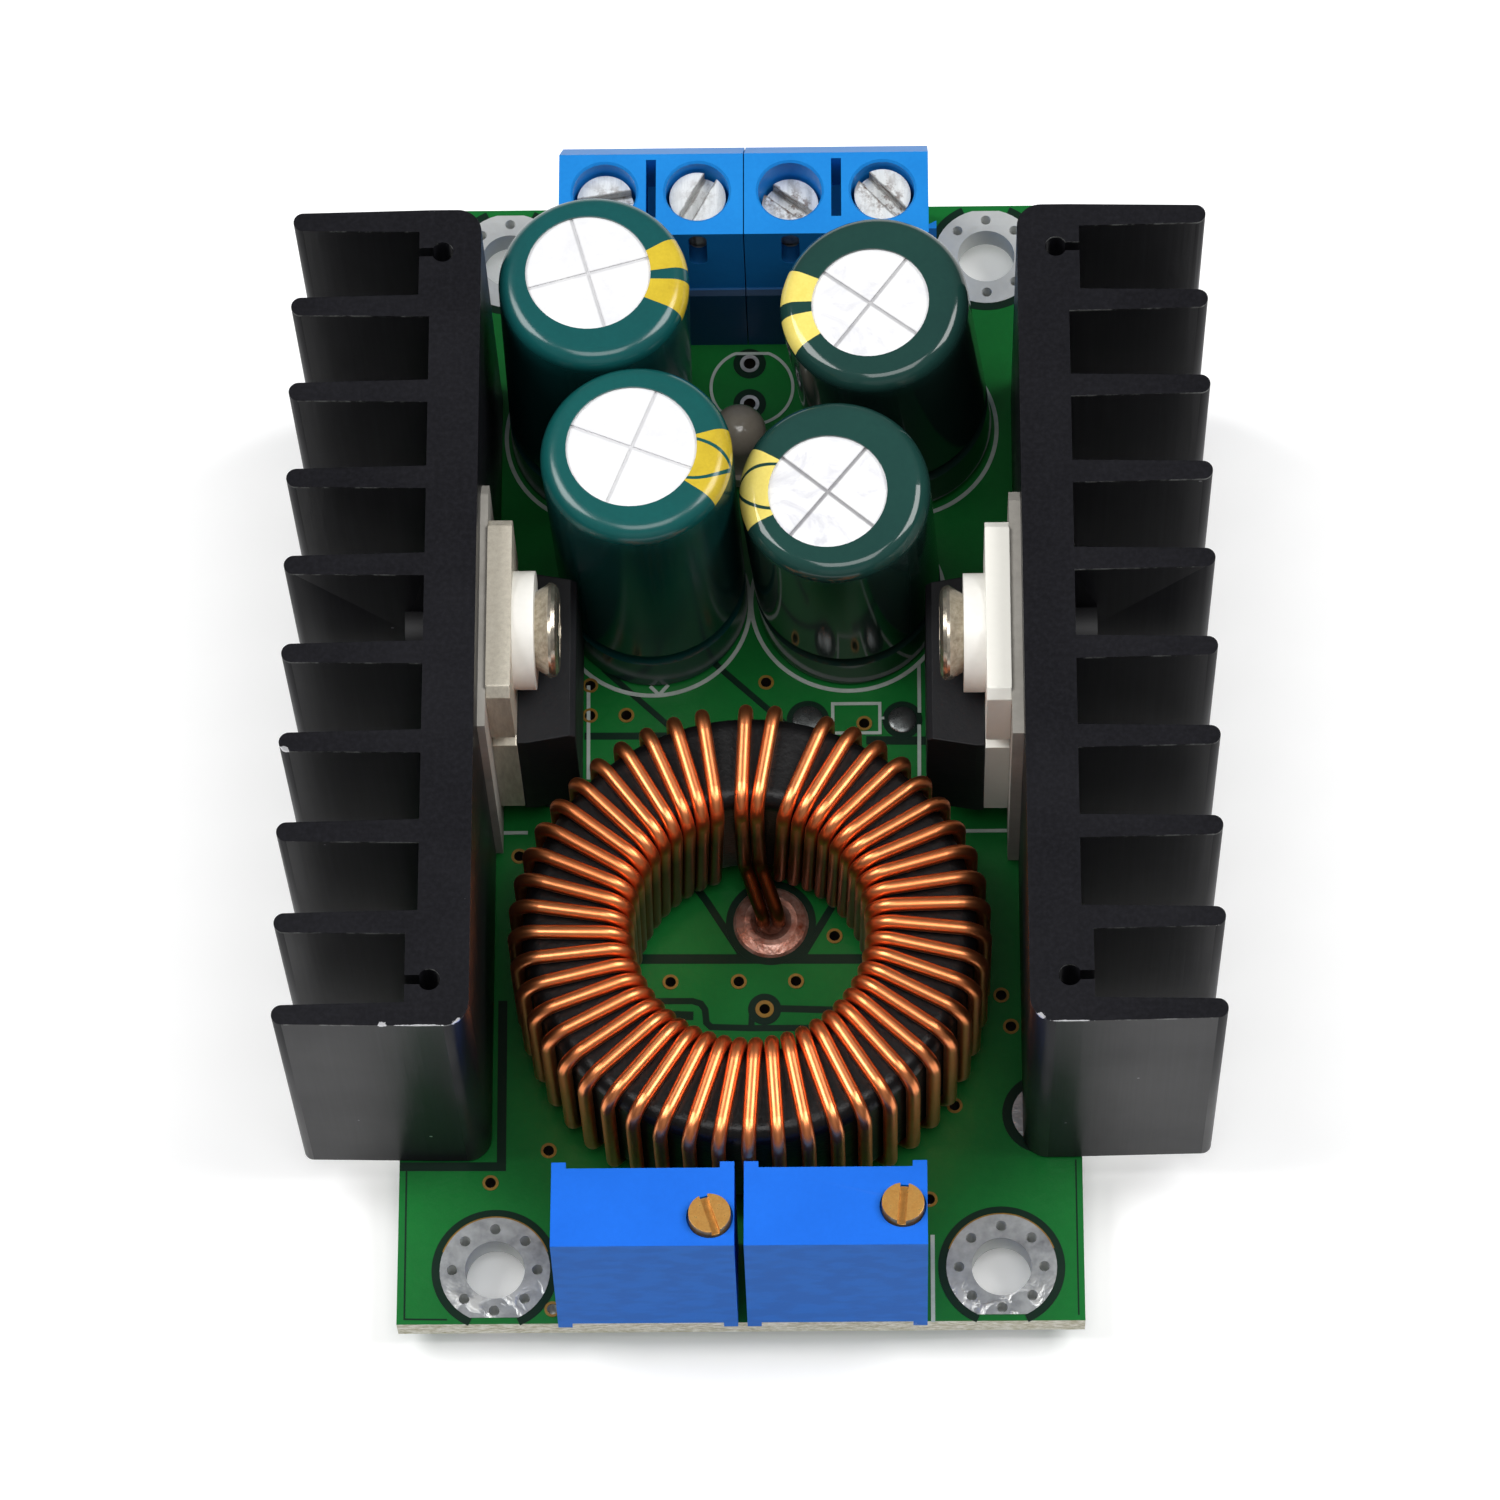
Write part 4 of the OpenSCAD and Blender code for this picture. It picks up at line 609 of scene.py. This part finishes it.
# Knocks on the heatsinks' corners and edges, each with its middle and its reach.
LEFT_NICKS = [
    ((left_high.x - 0.45 * MM, left_low.y + 0.1 * MM, left_high.z), (0.5 * MM, 0.4 * MM, 0.3 * MM)),
    ((left_high.x - 4.4 * MM, left_low.y, left_high.z), (0.35 * MM, 0.3 * MM, 0.25 * MM)),
    ((left_high.x - 2.6 * MM, left_low.y, left_high.z), (2.0 * MM, 0.09 * MM, 0.09 * MM)),
    ((left_low.x + 0.2 * MM, left_low.y + 15.2 * MM, left_high.z), (0.5 * MM, 0.3 * MM, 0.3 * MM)),
    ((left_high.x - 3.0 * MM, left_low.y, left_low.z + 4 * MM), (0.12 * MM, 0.2 * MM, 0.12 * MM)),
]
RIGHT_NICKS = [
    ((right_low.x + 0.4 * MM, right_low.y + 0.15 * MM, right_high.z), (0.5 * MM, 0.45 * MM, 0.3 * MM)),
    ((right_low.x + 2.0 * MM, right_low.y, right_high.z), (1.6 * MM, 0.07 * MM, 0.07 * MM)),
    ((right_high.x - 0.3 * MM, right_low.y + 5.0 * MM, right_high.z), (0.4 * MM, 0.25 * MM, 0.25 * MM)),
]

BOARD_GREEN = solder_mask()
GAP_GREEN = plain_finish(
    "mask over bare board", linear(8, 38, 24), linear(6, 29, 20), roughness=0.34, patch=120.0, grain=2500.0,
    amount=0.7, grain_strength=0.05, specular_ior_level=0.2)
RING_COPPER = plain_finish(
    "copper under mask", linear(150, 116, 40), linear(112, 74, 22), metallic=0.3, roughness=0.4,
    patch=900.0, amount=0.8)
PRINT_WHITE = plain_finish(
    "print ink", linear(176, 186, 180), linear(140, 154, 146), roughness=0.55, patch=800.0, grain=4000.0,
    amount=0.8)
TINNED = tinned_pad()
SOLDER = solder_finish()
DARK_SOLDER = plain_finish(
    "domed solder", linear(112, 115, 115), linear(66, 69, 69), metallic=0.8, roughness=0.28, patch=500.0,
    grain=1500.0, amount=0.7, grain_strength=0.15, grain_height=0.0001)
PIN_STEEL = brushed("pin steel", linear(190, 190, 190), linear(150, 150, 152), 0.9, 0.35, 0.2)
CLAMP = brushed("tinned contact", linear(200, 200, 196), linear(160, 160, 155), 0.85, 0.35, 0.2)
CLAMP_PLATE = brushed("brass plate", linear(205, 170, 100), linear(165, 130, 70), 0.9, 0.3, 0.2)
BRASS = brushed("bare brass", linear(240, 186, 104), linear(200, 140, 66), 0.7, 0.32, 0.3)
LEFT_TAB = brushed("left tab", linear(226, 219, 202), linear(192, 184, 168), 0.4, 0.4, 0.15)
RIGHT_TAB = plain_finish(
    "right tab", linear(252, 250, 241), linear(240, 237, 228), metallic=0.05, roughness=0.45, patch=250.0,
    grain=2500.0, amount=0.5)
TAB_SCREW = tab_screw_steel()
MOULDING = plain_finish(
    "moulding compound", linear(22, 22, 25), linear(32, 33, 36), patch=160.0, grain=4500.0, amount=0.7,
    grain_strength=0.25, specular_ior_level=0.25)
BUSH_WHITE = plain_finish(
    "bush plastic", linear(244, 242, 236), linear(225, 222, 214), roughness=0.4, amount=0.5,
    grain_strength=0.06)
SILICONE = plain_finish(
    "silicone sheet", linear(176, 172, 164), linear(146, 142, 134), roughness=0.7, patch=260.0,
    grain=2200.0, amount=0.8, grain_strength=0.3, grain_height=0.0001)
LEFT_ANODISED = anodised("black anodised left", left_high.z, LEFT_NICKS)
RIGHT_ANODISED = anodised("black anodised right", right_high.z, RIGHT_NICKS)
CORE = plain_finish(
    "coated core", linear(9, 9, 10), linear(18, 18, 19), roughness=0.35, grain=3500.0, amount=0.7,
    grain_strength=0.3, grain_height=0.0001, specular_ior_level=0.3)
COPPER = wire_copper()
BUNG = plain_finish(
    "bung rubber", linear(30, 30, 30), linear(45, 45, 45), roughness=0.7, amount=0.5, grain_strength=0.2)
RESIN = lamp_resin()
TERMINAL_BLUE = blue_housing()
TRIMMER_BLUE = trimmer_plastic()
CHIP_BLACK = plain_finish(
    "chip coat", linear(24, 24, 26), linear(40, 40, 42), roughness=0.4, patch=400.0, grain=3500.0,
    grain_strength=0.2)
CHIP_TAN = plain_finish(
    "ceramic chip", linear(176, 142, 104), linear(150, 116, 80), roughness=0.45, patch=400.0, grain=3500.0,
    grain_strength=0.2)


def paint(material, *node_names):
    """Gives the CAD nodes a finish."""
    for node_name in node_names:
        data = nodes[node_name].data
        data.materials.clear()
        data.materials.append(material)


paint(BOARD_GREEN, "circuit_board")
paint(TINNED, "mounting_pads")
paint(SOLDER, "solder_joints")
paint(LEFT_ANODISED, "heatsink_left")
paint(RIGHT_ANODISED, "heatsink_right")
paint(PIN_STEEL, "heatsink_pins", "regulator_leads", "rectifier_leads", "capacitor_leads", "lamp_leads",
      "trimmer_pins", "control_chip_leads")
paint(SILICONE, "thermal_pad_left", "thermal_pad_right")
paint(LEFT_TAB, "regulator_tab")
paint(RIGHT_TAB, "rectifier_tab")
paint(MOULDING, "regulator_body", "rectifier_body", "control_chip", "bias_regulator")
paint(BUSH_WHITE, "insulating_bush_left", "insulating_bush_right")
paint(TAB_SCREW, "tab_screw_left", "tab_screw_right")
paint(CORE, "choke_core")
paint(COPPER, "choke_wire_a", "choke_wire_b")
paint(RESIN, "lamp_lens")
paint(TERMINAL_BLUE, "terminal_housing_left", "terminal_housing_right")
paint(CLAMP, "clamp_frames")
paint(TRIMMER_BLUE, "trimmer_case_left", "trimmer_case_right")
paint(BRASS, "adjusting_screw_left", "adjusting_screw_right")
paint(CHIP_BLACK, "chip_resistors", "current_shunt")
paint(CHIP_TAN, "chip_capacitors")

# Bearing of each terminal screw's slot and how stained its head is.
SCREW_HEADS = [(10.0, 0.5), (62.0, 0.3), (-38.0, 0.95), (-48.0, 0.85)]
for number, (bearing, stain) in enumerate(SCREW_HEADS, start=1):
    screw_low, screw_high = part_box(f"terminal_screw_{number}")
    head = zinc_screw(f"zinc screw {number}", (screw_low + screw_high) / 2, bearing, stain)
    paint(head, f"terminal_screw_{number}")
    paint(CLAMP_PLATE, f"clamp_plate_{number}")


# ---- Capacitors ----


def gold_blocks(centre, half, gap, lowest):
    """Places the two gold blocks: angles in degrees, the lowest height in millimetres."""
    def marks(t, can):
        return t.group(GOLD_BLOCKS, {
            "Angle": can["Angle"], "Height": can["Height"], "Centre": centre, "Half": half, "Gap": gap,
            "Lowest": lowest * MM,
        })["Mask"]
    return marks


def gold_lens(centre, half, wide, power, gap, lowest):
    """Places the gold lens and its corners: angles in degrees, the lowest height in millimetres."""
    def marks(t, can):
        return t.group(GOLD_LENS, {
            "Angle": can["Angle"], "Radius": can["Radius"], "Height": can["Height"], "Centre": centre,
            "Half": half, "Wide": wide, "Power": power, "Gap": gap, "Lowest": lowest * MM,
        })["Mask"]
    return marks


class Kind(NamedTuple):
    """What the two capacitors of one kind share: height, roughness, the colour of painted shade below the
    rim and gold ink.
    """

    height: float
    gloss: float
    shade: tuple
    ink: tuple


class Capacitor(NamedTuple):
    """One capacitor: foot on the board, lean in degrees, sleeve and gold marks, and its scored cross."""

    kind: Kind
    foot: tuple
    lean: tuple
    film: tuple
    marks: Callable
    cross: tuple
    bearing: float
    wear: float


CAN_RADIUS = 5.1
CAN_GAP = 0.12
# Each kind's shade is the colour of painted shade on the sleeve below the rim.
LEFT_KIND = Kind(height=20.0, gloss=0.2, shade=linear(4, 20, 20),
                 ink=(linear(212, 186, 54), linear(180, 152, 40)))
RIGHT_KIND = Kind(height=17.3, gloss=0.1, shade=linear(16, 18, 12),
                  ink=(linear(244, 226, 124), linear(222, 198, 88)))
CAPACITORS = [
    Capacitor(LEFT_KIND, foot=(-7.73, 51.94), lean=(0.9, 0.0),
              film=(linear(20, 84, 84), linear(14, 66, 68)),
              marks=gold_blocks(centre=3.5, half=26.5, gap=4.5, lowest=18.6),
              cross=(-0.3, 0.33), bearing=16.0, wear=0.08),
    Capacitor(LEFT_KIND, foot=(-4.7, 41.8), lean=(-1.2, 0.0),
              film=(linear(20, 88, 86), linear(14, 70, 70)),
              marks=gold_lens(centre=-10.0, half=25.0, wide=21.0, power=0.75, gap=1.6, lowest=18.9),
              cross=(-0.23, 0.22), bearing=-22.0, wear=0.05),
    Capacitor(RIGHT_KIND, foot=(8.94, 52.25), lean=(-5.1, -1.3),
              film=(linear(32, 68, 62), linear(24, 54, 52)),
              marks=gold_blocks(centre=-176.0, half=29.0, gap=5.0, lowest=15.9),
              cross=(-0.15, -0.16), bearing=52.0, wear=0.3),
    Capacitor(RIGHT_KIND, foot=(6.05, 41.74), lean=(-2.5, -3.2),
              film=(linear(32, 70, 64), linear(24, 56, 54)),
              marks=gold_lens(centre=-182.5, half=27.0, wide=23.0, power=0.5, gap=1.5, lowest=15.9),
              cross=(-0.34, -0.22), bearing=50.0, wear=0.5),
]


def can_place(t, capacitor):
    """Places the frame of one capacitor, which stands on the edge it leans towards."""
    rise = CAN_GAP + CAN_RADIUS * sum(abs(math.sin(math.radians(angle))) for angle in capacitor.lean)
    turn = (math.radians(-capacitor.lean[1]), math.radians(capacitor.lean[0]), 0.0)
    return t.group(CAN_PLACE, {"Foot": on_board(*capacitor.foot, rise), "Lean": turn})


def sleeve_film(name, capacitor):
    """Shrunk sleeve with the gold marks of the negative side, and painted shade darkening it below the rim.
    """
    kind = capacitor.kind
    top = kind.height * MM
    material, t, shader = new_finish(name, roughness=kind.gloss, specular_ior_level=0.45)
    can = can_place(t, capacitor)
    look = mottled(t, *capacitor.film, 150.0, 3000.0, 0.6)
    gold = mottled(t, *kind.ink, 500.0, 6000.0, 0.8)
    # Painted shade: below the rim the sleeve is mixed towards the kind's shade colour.
    below = t.spread(can["Height"], top - 2.6 * MM, top - 0.5 * MM, 0.62, 0.0)
    film = t.mix(below, look["Color"], kind.shade)
    t.feed(t.mix(capacitor.marks(t, can), film, gold["Color"]), shader.inputs["Base Color"])
    t.feed(t.spread(look["Patch"], 0.3, 0.7, kind.gloss * 0.8, kind.gloss * 1.2), shader.inputs["Roughness"])
    bump(t, shader, t.noise(can["Place"], 260.0, 1.0), 0.05, 0.0002)
    return material


def can_top(name, capacitor):
    """Bare aluminium disc, almost white, with painted shade along its scored cross and rubbed grey patches.
    """
    material, t, shader = new_finish(name, metallic=0.25, roughness=0.45)
    place = can_place(t, capacitor)["Place"]
    look = mottled(t, linear(244, 244, 244), linear(222, 222, 226), 350.0, 2500.0, 0.7)
    cross = t.group(SCORED_CROSS, {
        "Place": place, "Middle": (capacitor.cross[0] * MM, capacitor.cross[1] * MM, 0.0),
        "Bearing": (0.0, 0.0, math.radians(capacitor.bearing)),
    })
    rubbed = t.math("MULTIPLY", cross["Rubbed"], capacitor.wear)
    colour = t.mix(rubbed, look["Color"], linear(188, 188, 198))
    # Painted shade along the scored cross, stronger on the more worn tops.
    groove_shade = t.math("MULTIPLY", cross["Groove Shade"], 0.2 + capacitor.wear)
    t.feed(t.mix(groove_shade, colour, linear(96, 94, 98)), shader.inputs["Base Color"])
    bump(t, shader, t.noise(place, 500.0, 4.0, 0.6), 0.25, 0.0002)
    return material


for number, capacitor in enumerate(CAPACITORS, start=1):
    paint(can_top(f"can aluminium {number}", capacitor), f"capacitor_can_{number}")
    paint(sleeve_film(f"sleeve {number}", capacitor), f"capacitor_sleeve_{number}")
    paint(BUNG, f"capacitor_bung_{number}")


# ---- Softened edges ----


def soften(width, *node_names):
    """Takes the sharpness off the edges of sawn, pressed and moulded parts; width in millimetres."""
    for node_name in node_names:
        weld = nodes[node_name].modifiers.new("join", "WELD")
        weld.merge_threshold = 1e-6
        edge = nodes[node_name].modifiers.new("edge", "BEVEL")
        edge.width = width * MM
        edge.segments = 2
        edge.limit_method = "ANGLE"
        edge.angle_limit = math.radians(38)
        edge.harden_normals = False


soften(0.1, "trimmer_case_left", "trimmer_case_right")
soften(0.08, "heatsink_left", "heatsink_right")
soften(0.06, "regulator_tab", "rectifier_tab", "regulator_body", "rectifier_body")
soften(0.05, "terminal_screw_1", "terminal_screw_2", "terminal_screw_3", "terminal_screw_4",
       "adjusting_screw_left", "adjusting_screw_right")


# ---- Print, plating and gaps between the copper areas on the board ----

# Heights of the layers above the board, in millimetres.
LAYER_FOOT = 0.001
GAP_TOP = 0.008
PLATE_TOP = 0.05
INK_TOP = 0.04
LAYER_STEP = 0.001
DROP_HEIGHT = 0.16


class Layer:
    """One thin layer on the board's upper face, gathered into a single mesh."""

    def __init__(self, name, top):
        self.name = name
        self.top = top
        self.mesh = bmesh.new()

    def row(self, line, level):
        return [self.mesh.verts.new(on_board(x, y, level)) for x, y in line]

    def prism(self, outlines):
        """A closed flat piece between an outer and, if given, an inner outline of equal length."""
        low = [self.row(line, LAYER_FOOT) for line in outlines]
        high = [self.row(line, self.top) for line in outlines]
        self.top += LAYER_STEP
        count = len(outlines[0])
        if len(outlines) == 1:
            self.mesh.faces.new(high[0])
            self.mesh.faces.new(low[0][::-1])
        for i in range(count):
            j = (i + 1) % count
            self.mesh.faces.new((low[0][i], low[0][j], high[0][j], high[0][i]))
            if len(outlines) == 2:
                self.mesh.faces.new((low[1][j], low[1][i], high[1][i], high[1][j]))
                self.mesh.faces.new((high[0][i], high[0][j], high[1][j], high[1][i]))
                self.mesh.faces.new((low[0][j], low[0][i], low[1][i], low[1][j]))

    def strip(self, points, width, closed=False):
        """A band of even width along a line of points, with mitred corners."""
        spots = [Vector(p) for p in points]
        sides = ([], [])
        for i, spot in enumerate(spots):
            before = spots[i - 1] if i or closed else None
            after = spots[(i + 1) % len(spots)] if i + 1 < len(spots) or closed else None
            headings = [(b - a).normalized() for a, b in ((before, spot), (spot, after)) if a and b]
            heading = sum(headings, Vector((0, 0))).normalized()
            across = Vector((-heading.y, heading.x))
            reach = width / 2 / max(0.4, heading.dot(headings[0]))
            sides[0].append(tuple(spot - across * reach))
            sides[1].append(tuple(spot + across * reach))
        if closed:
            self.prism(sides)
        else:
            self.prism([sides[0] + sides[1][::-1]])

    def arc(self, centre, radius, width, start=0.0, end=360.0, steps=96):
        """A ring, or a part of one between two angles."""
        whole = end - start >= 360.0
        count = steps if whole else steps + 1
        line = []
        for i in range(count):
            angle = math.radians(start + (end - start) * i / steps)
            line.append((centre[0] + radius * math.cos(angle), centre[1] + radius * math.sin(angle)))
        self.strip(line, width, closed=whole)

    def ring(self, centre, inner, outer):
        self.arc(centre, (inner + outer) / 2, outer - inner, steps=48)

    def dome(self, centre, radius, height, steps=40, levels=8):
        """A round drop, closed underneath."""
        angles = [2 * math.pi * i / steps for i in range(steps)]
        rows = []
        for level in range(levels):
            slope = math.pi / 2 * level / levels
            reach = radius * math.cos(slope)
            line = [(centre[0] + reach * math.cos(a), centre[1] + reach * math.sin(a)) for a in angles]
            rows.append(self.row(line, LAYER_FOOT + height * math.sin(slope)))
        crown = self.row([centre], LAYER_FOOT + height)[0]
        for i in range(steps):
            j = (i + 1) % steps
            for below, above in zip(rows, rows[1:]):
                self.mesh.faces.new((below[i], below[j], above[j], above[i])).smooth = True
            self.mesh.faces.new((rows[-1][i], rows[-1][j], crown)).smooth = True
        self.mesh.faces.new(rows[0][::-1])

    def finish(self, material):
        mesh = bpy.data.meshes.new(self.name)
        bmesh.ops.recalc_face_normals(self.mesh, faces=self.mesh.faces)
        self.mesh.to_mesh(mesh)
        self.mesh.free()
        mesh.materials.append(material)
        layer = bpy.data.objects.new(self.name, mesh)
        bpy.context.scene.collection.objects.link(layer)
        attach(layer, "module")


def copper_gaps():
    """Dark bands where the copper under the mask is etched away."""
    layer = Layer("copper_gaps", GAP_TOP)
    layer.strip([(-6.2, 20.66), (7.2, 20.56)], 0.56)
    layer.strip([(-2.5, 24.9), (-1.9, 24.06), (0.1, 20.8)], 0.42)
    layer.strip([(5.3, 24.2), (3.3, 20.7)], 0.42)
    layer.strip([(2.0, 17.74), (5.8, 17.6)], 0.4)
    layer.strip([(0.62, 17.6), (0.58, 16.7)], 0.34)
    layer.strip([(-5.4, 18.22), (-2.6, 18.2), (-2.15, 18.05), (-1.92, 17.7), (-1.85, 16.95), (-1.6, 16.7),
                 (0.6, 16.62), (5.4, 16.6)], 0.36)
    layer.strip([(-3.9, 17.4), (-2.55, 17.35)], 0.5)
    layer.strip([(-8.6, 33.78), (-3.5, 33.75), (1.2, 33.72)], 0.42)
    layer.strip([(-7.6, 37.8), (-3.48, 33.9)], 0.34)
    layer.strip([(-1.9, 38.5), (-0.87, 37.52), (3.2, 33.7)], 0.36)
    layer.strip([(6.9, 33.4), (13.0, 33.3)], 0.5)
    layer.strip([(-12.88, 18.3), (-12.83, 8.82), (-18.28, 8.86)], 0.5)
    layer.strip([(-15.6, 0.26), (-17.88, 0.3), (-17.92, 8.6)], 0.09)
    layer.strip([(17.95, 0.3), (17.95, 9.0)], 0.08)
    layer.ring(TRACK_VIA, 0.48, 0.9)
    layer.ring(CHOKE_PAD, 2.05, 2.45)
    layer.ring(SINK_PAD, 1.7, 2.25)
    for centre in LAMP_HOLES:
        layer.ring(centre, 0.45, 0.92)
    for centre, radius in SOLDER_ISLANDS:
        layer.ring(centre, radius - 0.1, radius + 0.3)
    for centre in MOUNTING_HOLES[:2]:
        layer.arc(centre, 3.16, 0.44, -66.0, 246.0)
    for centre in MOUNTING_HOLES[2:]:
        layer.arc(centre, 3.16, 0.44, 114.0, 426.0)
    layer.finish(GAP_GREEN)


def plated_rings():
    """Annular copper of the free holes, seen through the mask."""
    layer = Layer("via_rings", PLATE_TOP)
    for centre in VIAS:
        layer.ring(centre, 0.29, 0.43)
    layer.ring(TRACK_VIA, 0.29, 0.5)
    for centre in MOUNTING_HOLES[:2]:
        layer.arc(centre, 2.96, 0.07, 20.0, 160.0)
    layer.finish(RING_COPPER)


def tinned_rings():
    """Bright tinned rings: round the spare lamp holes, and out from under the right heatsink's pin."""
    layer = Layer("tinned_rings", PLATE_TOP)
    for centre in LAMP_HOLES:
        layer.ring(centre, 0.34, 0.54)
    layer.ring(SINK_PAD, 0.6, 1.72)
    layer.finish(SOLDER)


def solder_islands():
    """Holes of a part that was left off, filled with domes of solder."""
    layer = Layer("solder_islands", PLATE_TOP)
    for centre, radius in SOLDER_ISLANDS:
        layer.dome(centre, radius, DROP_HEIGHT)
    layer.finish(DARK_SOLDER)


def board_print():
    """White printed outlines of the parts."""
    layer = Layer("printed_outlines", INK_TOP)
    for centre in CAN_CIRCLES:
        layer.arc(centre, 5.39, 0.23)
    layer.strip([(-5.0, 36.72), (-4.5, 36.2), (-4.0, 36.8)], 0.2)
    layer.strip([(-8.36, 31.2), (-8.4, 36.8)], 0.2)
    layer.strip([(9.78, 28.1), (9.82, 34.3)], 0.2)
    layer.strip([(9.84, 35.0), (9.84, 37.9)], 0.2)
    layer.strip([(-13.2, 28.08), (-11.65, 28.08)], 0.2)
    layer.strip([(12.0, 27.98), (14.6, 27.98)], 0.2)
    layer.strip([(5.07, 33.83), (7.66, 33.83), (7.66, 35.58), (5.07, 35.58)], 0.18, closed=True)
    layer.strip([(4.82, 34.7), (5.0, 34.7)], 0.16)
    layer.strip([(7.73, 34.7), (7.9, 34.7)], 0.16)
    layer.strip([(10.22, -0.05), (10.24, 4.8)], 0.22)
    layer.arc(SPARE_LAMP, 2.3, 0.17, 114.0, 426.0)
    layer.strip([(-0.32, 57.02), (1.58, 57.02)], 0.17)
    layer.finish(PRINT_WHITE)


copper_gaps()
plated_rings()
tinned_rings()
solder_islands()
board_print()


# ---- Stage, lights and camera ----

FLOOR_REACH = 1.2
FLOOR_GLOW = 0.2
FLOOR_GLOW_MIRRORED = 0.25
SKY = 0.08
SKY_MIRRORED = 0.08


def add_floor():
    """Pale paper floor, white to the camera and see-through from below."""
    mesh = bpy.data.meshes.new("floor")
    corners = [(-1, -1), (1, -1), (1, 1), (-1, 1)]
    mesh.from_pydata([(x * FLOOR_REACH, y * FLOOR_REACH, 0.0) for x, y in corners], [], [(0, 1, 2, 3)])
    floor = bpy.data.objects.new("floor", mesh)
    bpy.context.scene.collection.objects.link(floor)
    material, t, shader = new_finish("paper floor", roughness=0.9, specular_ior_level=0.1)
    shader.inputs["Base Color"].default_value = (0.88, 0.88, 0.88, 1.0)
    shader.inputs["Emission Color"].default_value = (1.0, 1.0, 1.0, 1.0)
    path = t.node("ShaderNodeLightPath").outputs
    mirrored = t.math("MULTIPLY", path["Is Glossy Ray"], FLOOR_GLOW_MIRRORED)
    seen = t.math("MAXIMUM", path["Is Camera Ray"], mirrored)
    t.feed(t.math("MULTIPLY", seen, FLOOR_GLOW), shader.inputs["Emission Strength"])
    behind = t.node("ShaderNodeNewGeometry").outputs["Backfacing"]
    t.feed(t.math("SUBTRACT", 1.0, behind), shader.inputs["Alpha"])
    mesh.materials.append(material)


def add_lamp(name, place, target, size, power):
    lamp = bpy.data.lights.new(name, "AREA")
    lamp.shape = "RECTANGLE"
    lamp.size, lamp.size_y = size
    lamp.energy = power
    rig = bpy.data.objects.new(name, lamp)
    rig.location = place
    rig.rotation_euler = (Vector(target) - Vector(place)).to_track_quat("-Z", "Y").to_euler()
    bpy.context.scene.collection.objects.link(rig)


def add_world():
    """White all round, weak as a light."""
    world = bpy.data.worlds.new("studio")
    world.use_nodes = True
    bpy.context.scene.world = world
    t = Tree(world.node_tree)
    shade = world.node_tree.nodes["Background"]
    shade.inputs["Color"].default_value = (1.0, 1.0, 1.0, 1.0)
    path = t.node("ShaderNodeLightPath").outputs
    seen = t.math("MAXIMUM", path["Is Camera Ray"], path["Is Transmission Ray"])
    mirrored = t.math("ADD", t.math("MULTIPLY", path["Is Glossy Ray"], SKY_MIRRORED), SKY)
    t.feed(t.math("MAXIMUM", seen, mirrored), shade.inputs["Strength"])


def add_camera(place, azimuth, elevation, roll, lens):
    """Looks down on the board from the trimmer end; angles in degrees."""
    azimuth, elevation, roll = math.radians(azimuth), math.radians(elevation), math.radians(roll)
    ahead = Vector((math.sin(azimuth) * math.cos(elevation), math.cos(azimuth) * math.cos(elevation),
                    -math.sin(elevation)))
    right = ahead.cross(Vector((0.0, 0.0, 1.0))).normalized()
    above = right.cross(ahead)
    side = right * math.cos(roll) + above * math.sin(roll)
    top = above * math.cos(roll) - right * math.sin(roll)
    camera = bpy.data.cameras.new("camera")
    camera.sensor_width = 36.0
    camera.lens = lens
    camera.clip_start = 0.01
    rig = bpy.data.objects.new("camera", camera)
    turn = Matrix((side, top, -ahead)).transposed()
    rig.matrix_world = Matrix.Translation(place) @ turn.to_4x4()
    bpy.context.scene.collection.objects.link(rig)
    bpy.context.scene.camera = rig


add_floor()
add_world()
add_lamp("left softbox", (-0.36, 0.07, 0.52), (0.0, 0.0, 0.0), (0.3, 0.3), 2.5)
add_lamp("right softbox", (0.36, 0.07, 0.52), (0.0, 0.0, 0.0), (0.3, 0.3), 2.5)
add_lamp("overhead softbox", (0.02, -0.16, 0.62), (0.0, 0.0, 0.0), (0.32, 0.24), 1.15)
add_lamp("front softbox", (0.05, -0.60, 0.34), (0.0, 0.0, 0.01), (0.5, 0.3), 0.1)
add_camera((0.006636, -0.141181, 0.345075), azimuth=-2.849, elevation=67.527, roll=-3.103, lens=161.48)
bpy.context.scene.view_settings.view_transform = "Standard"
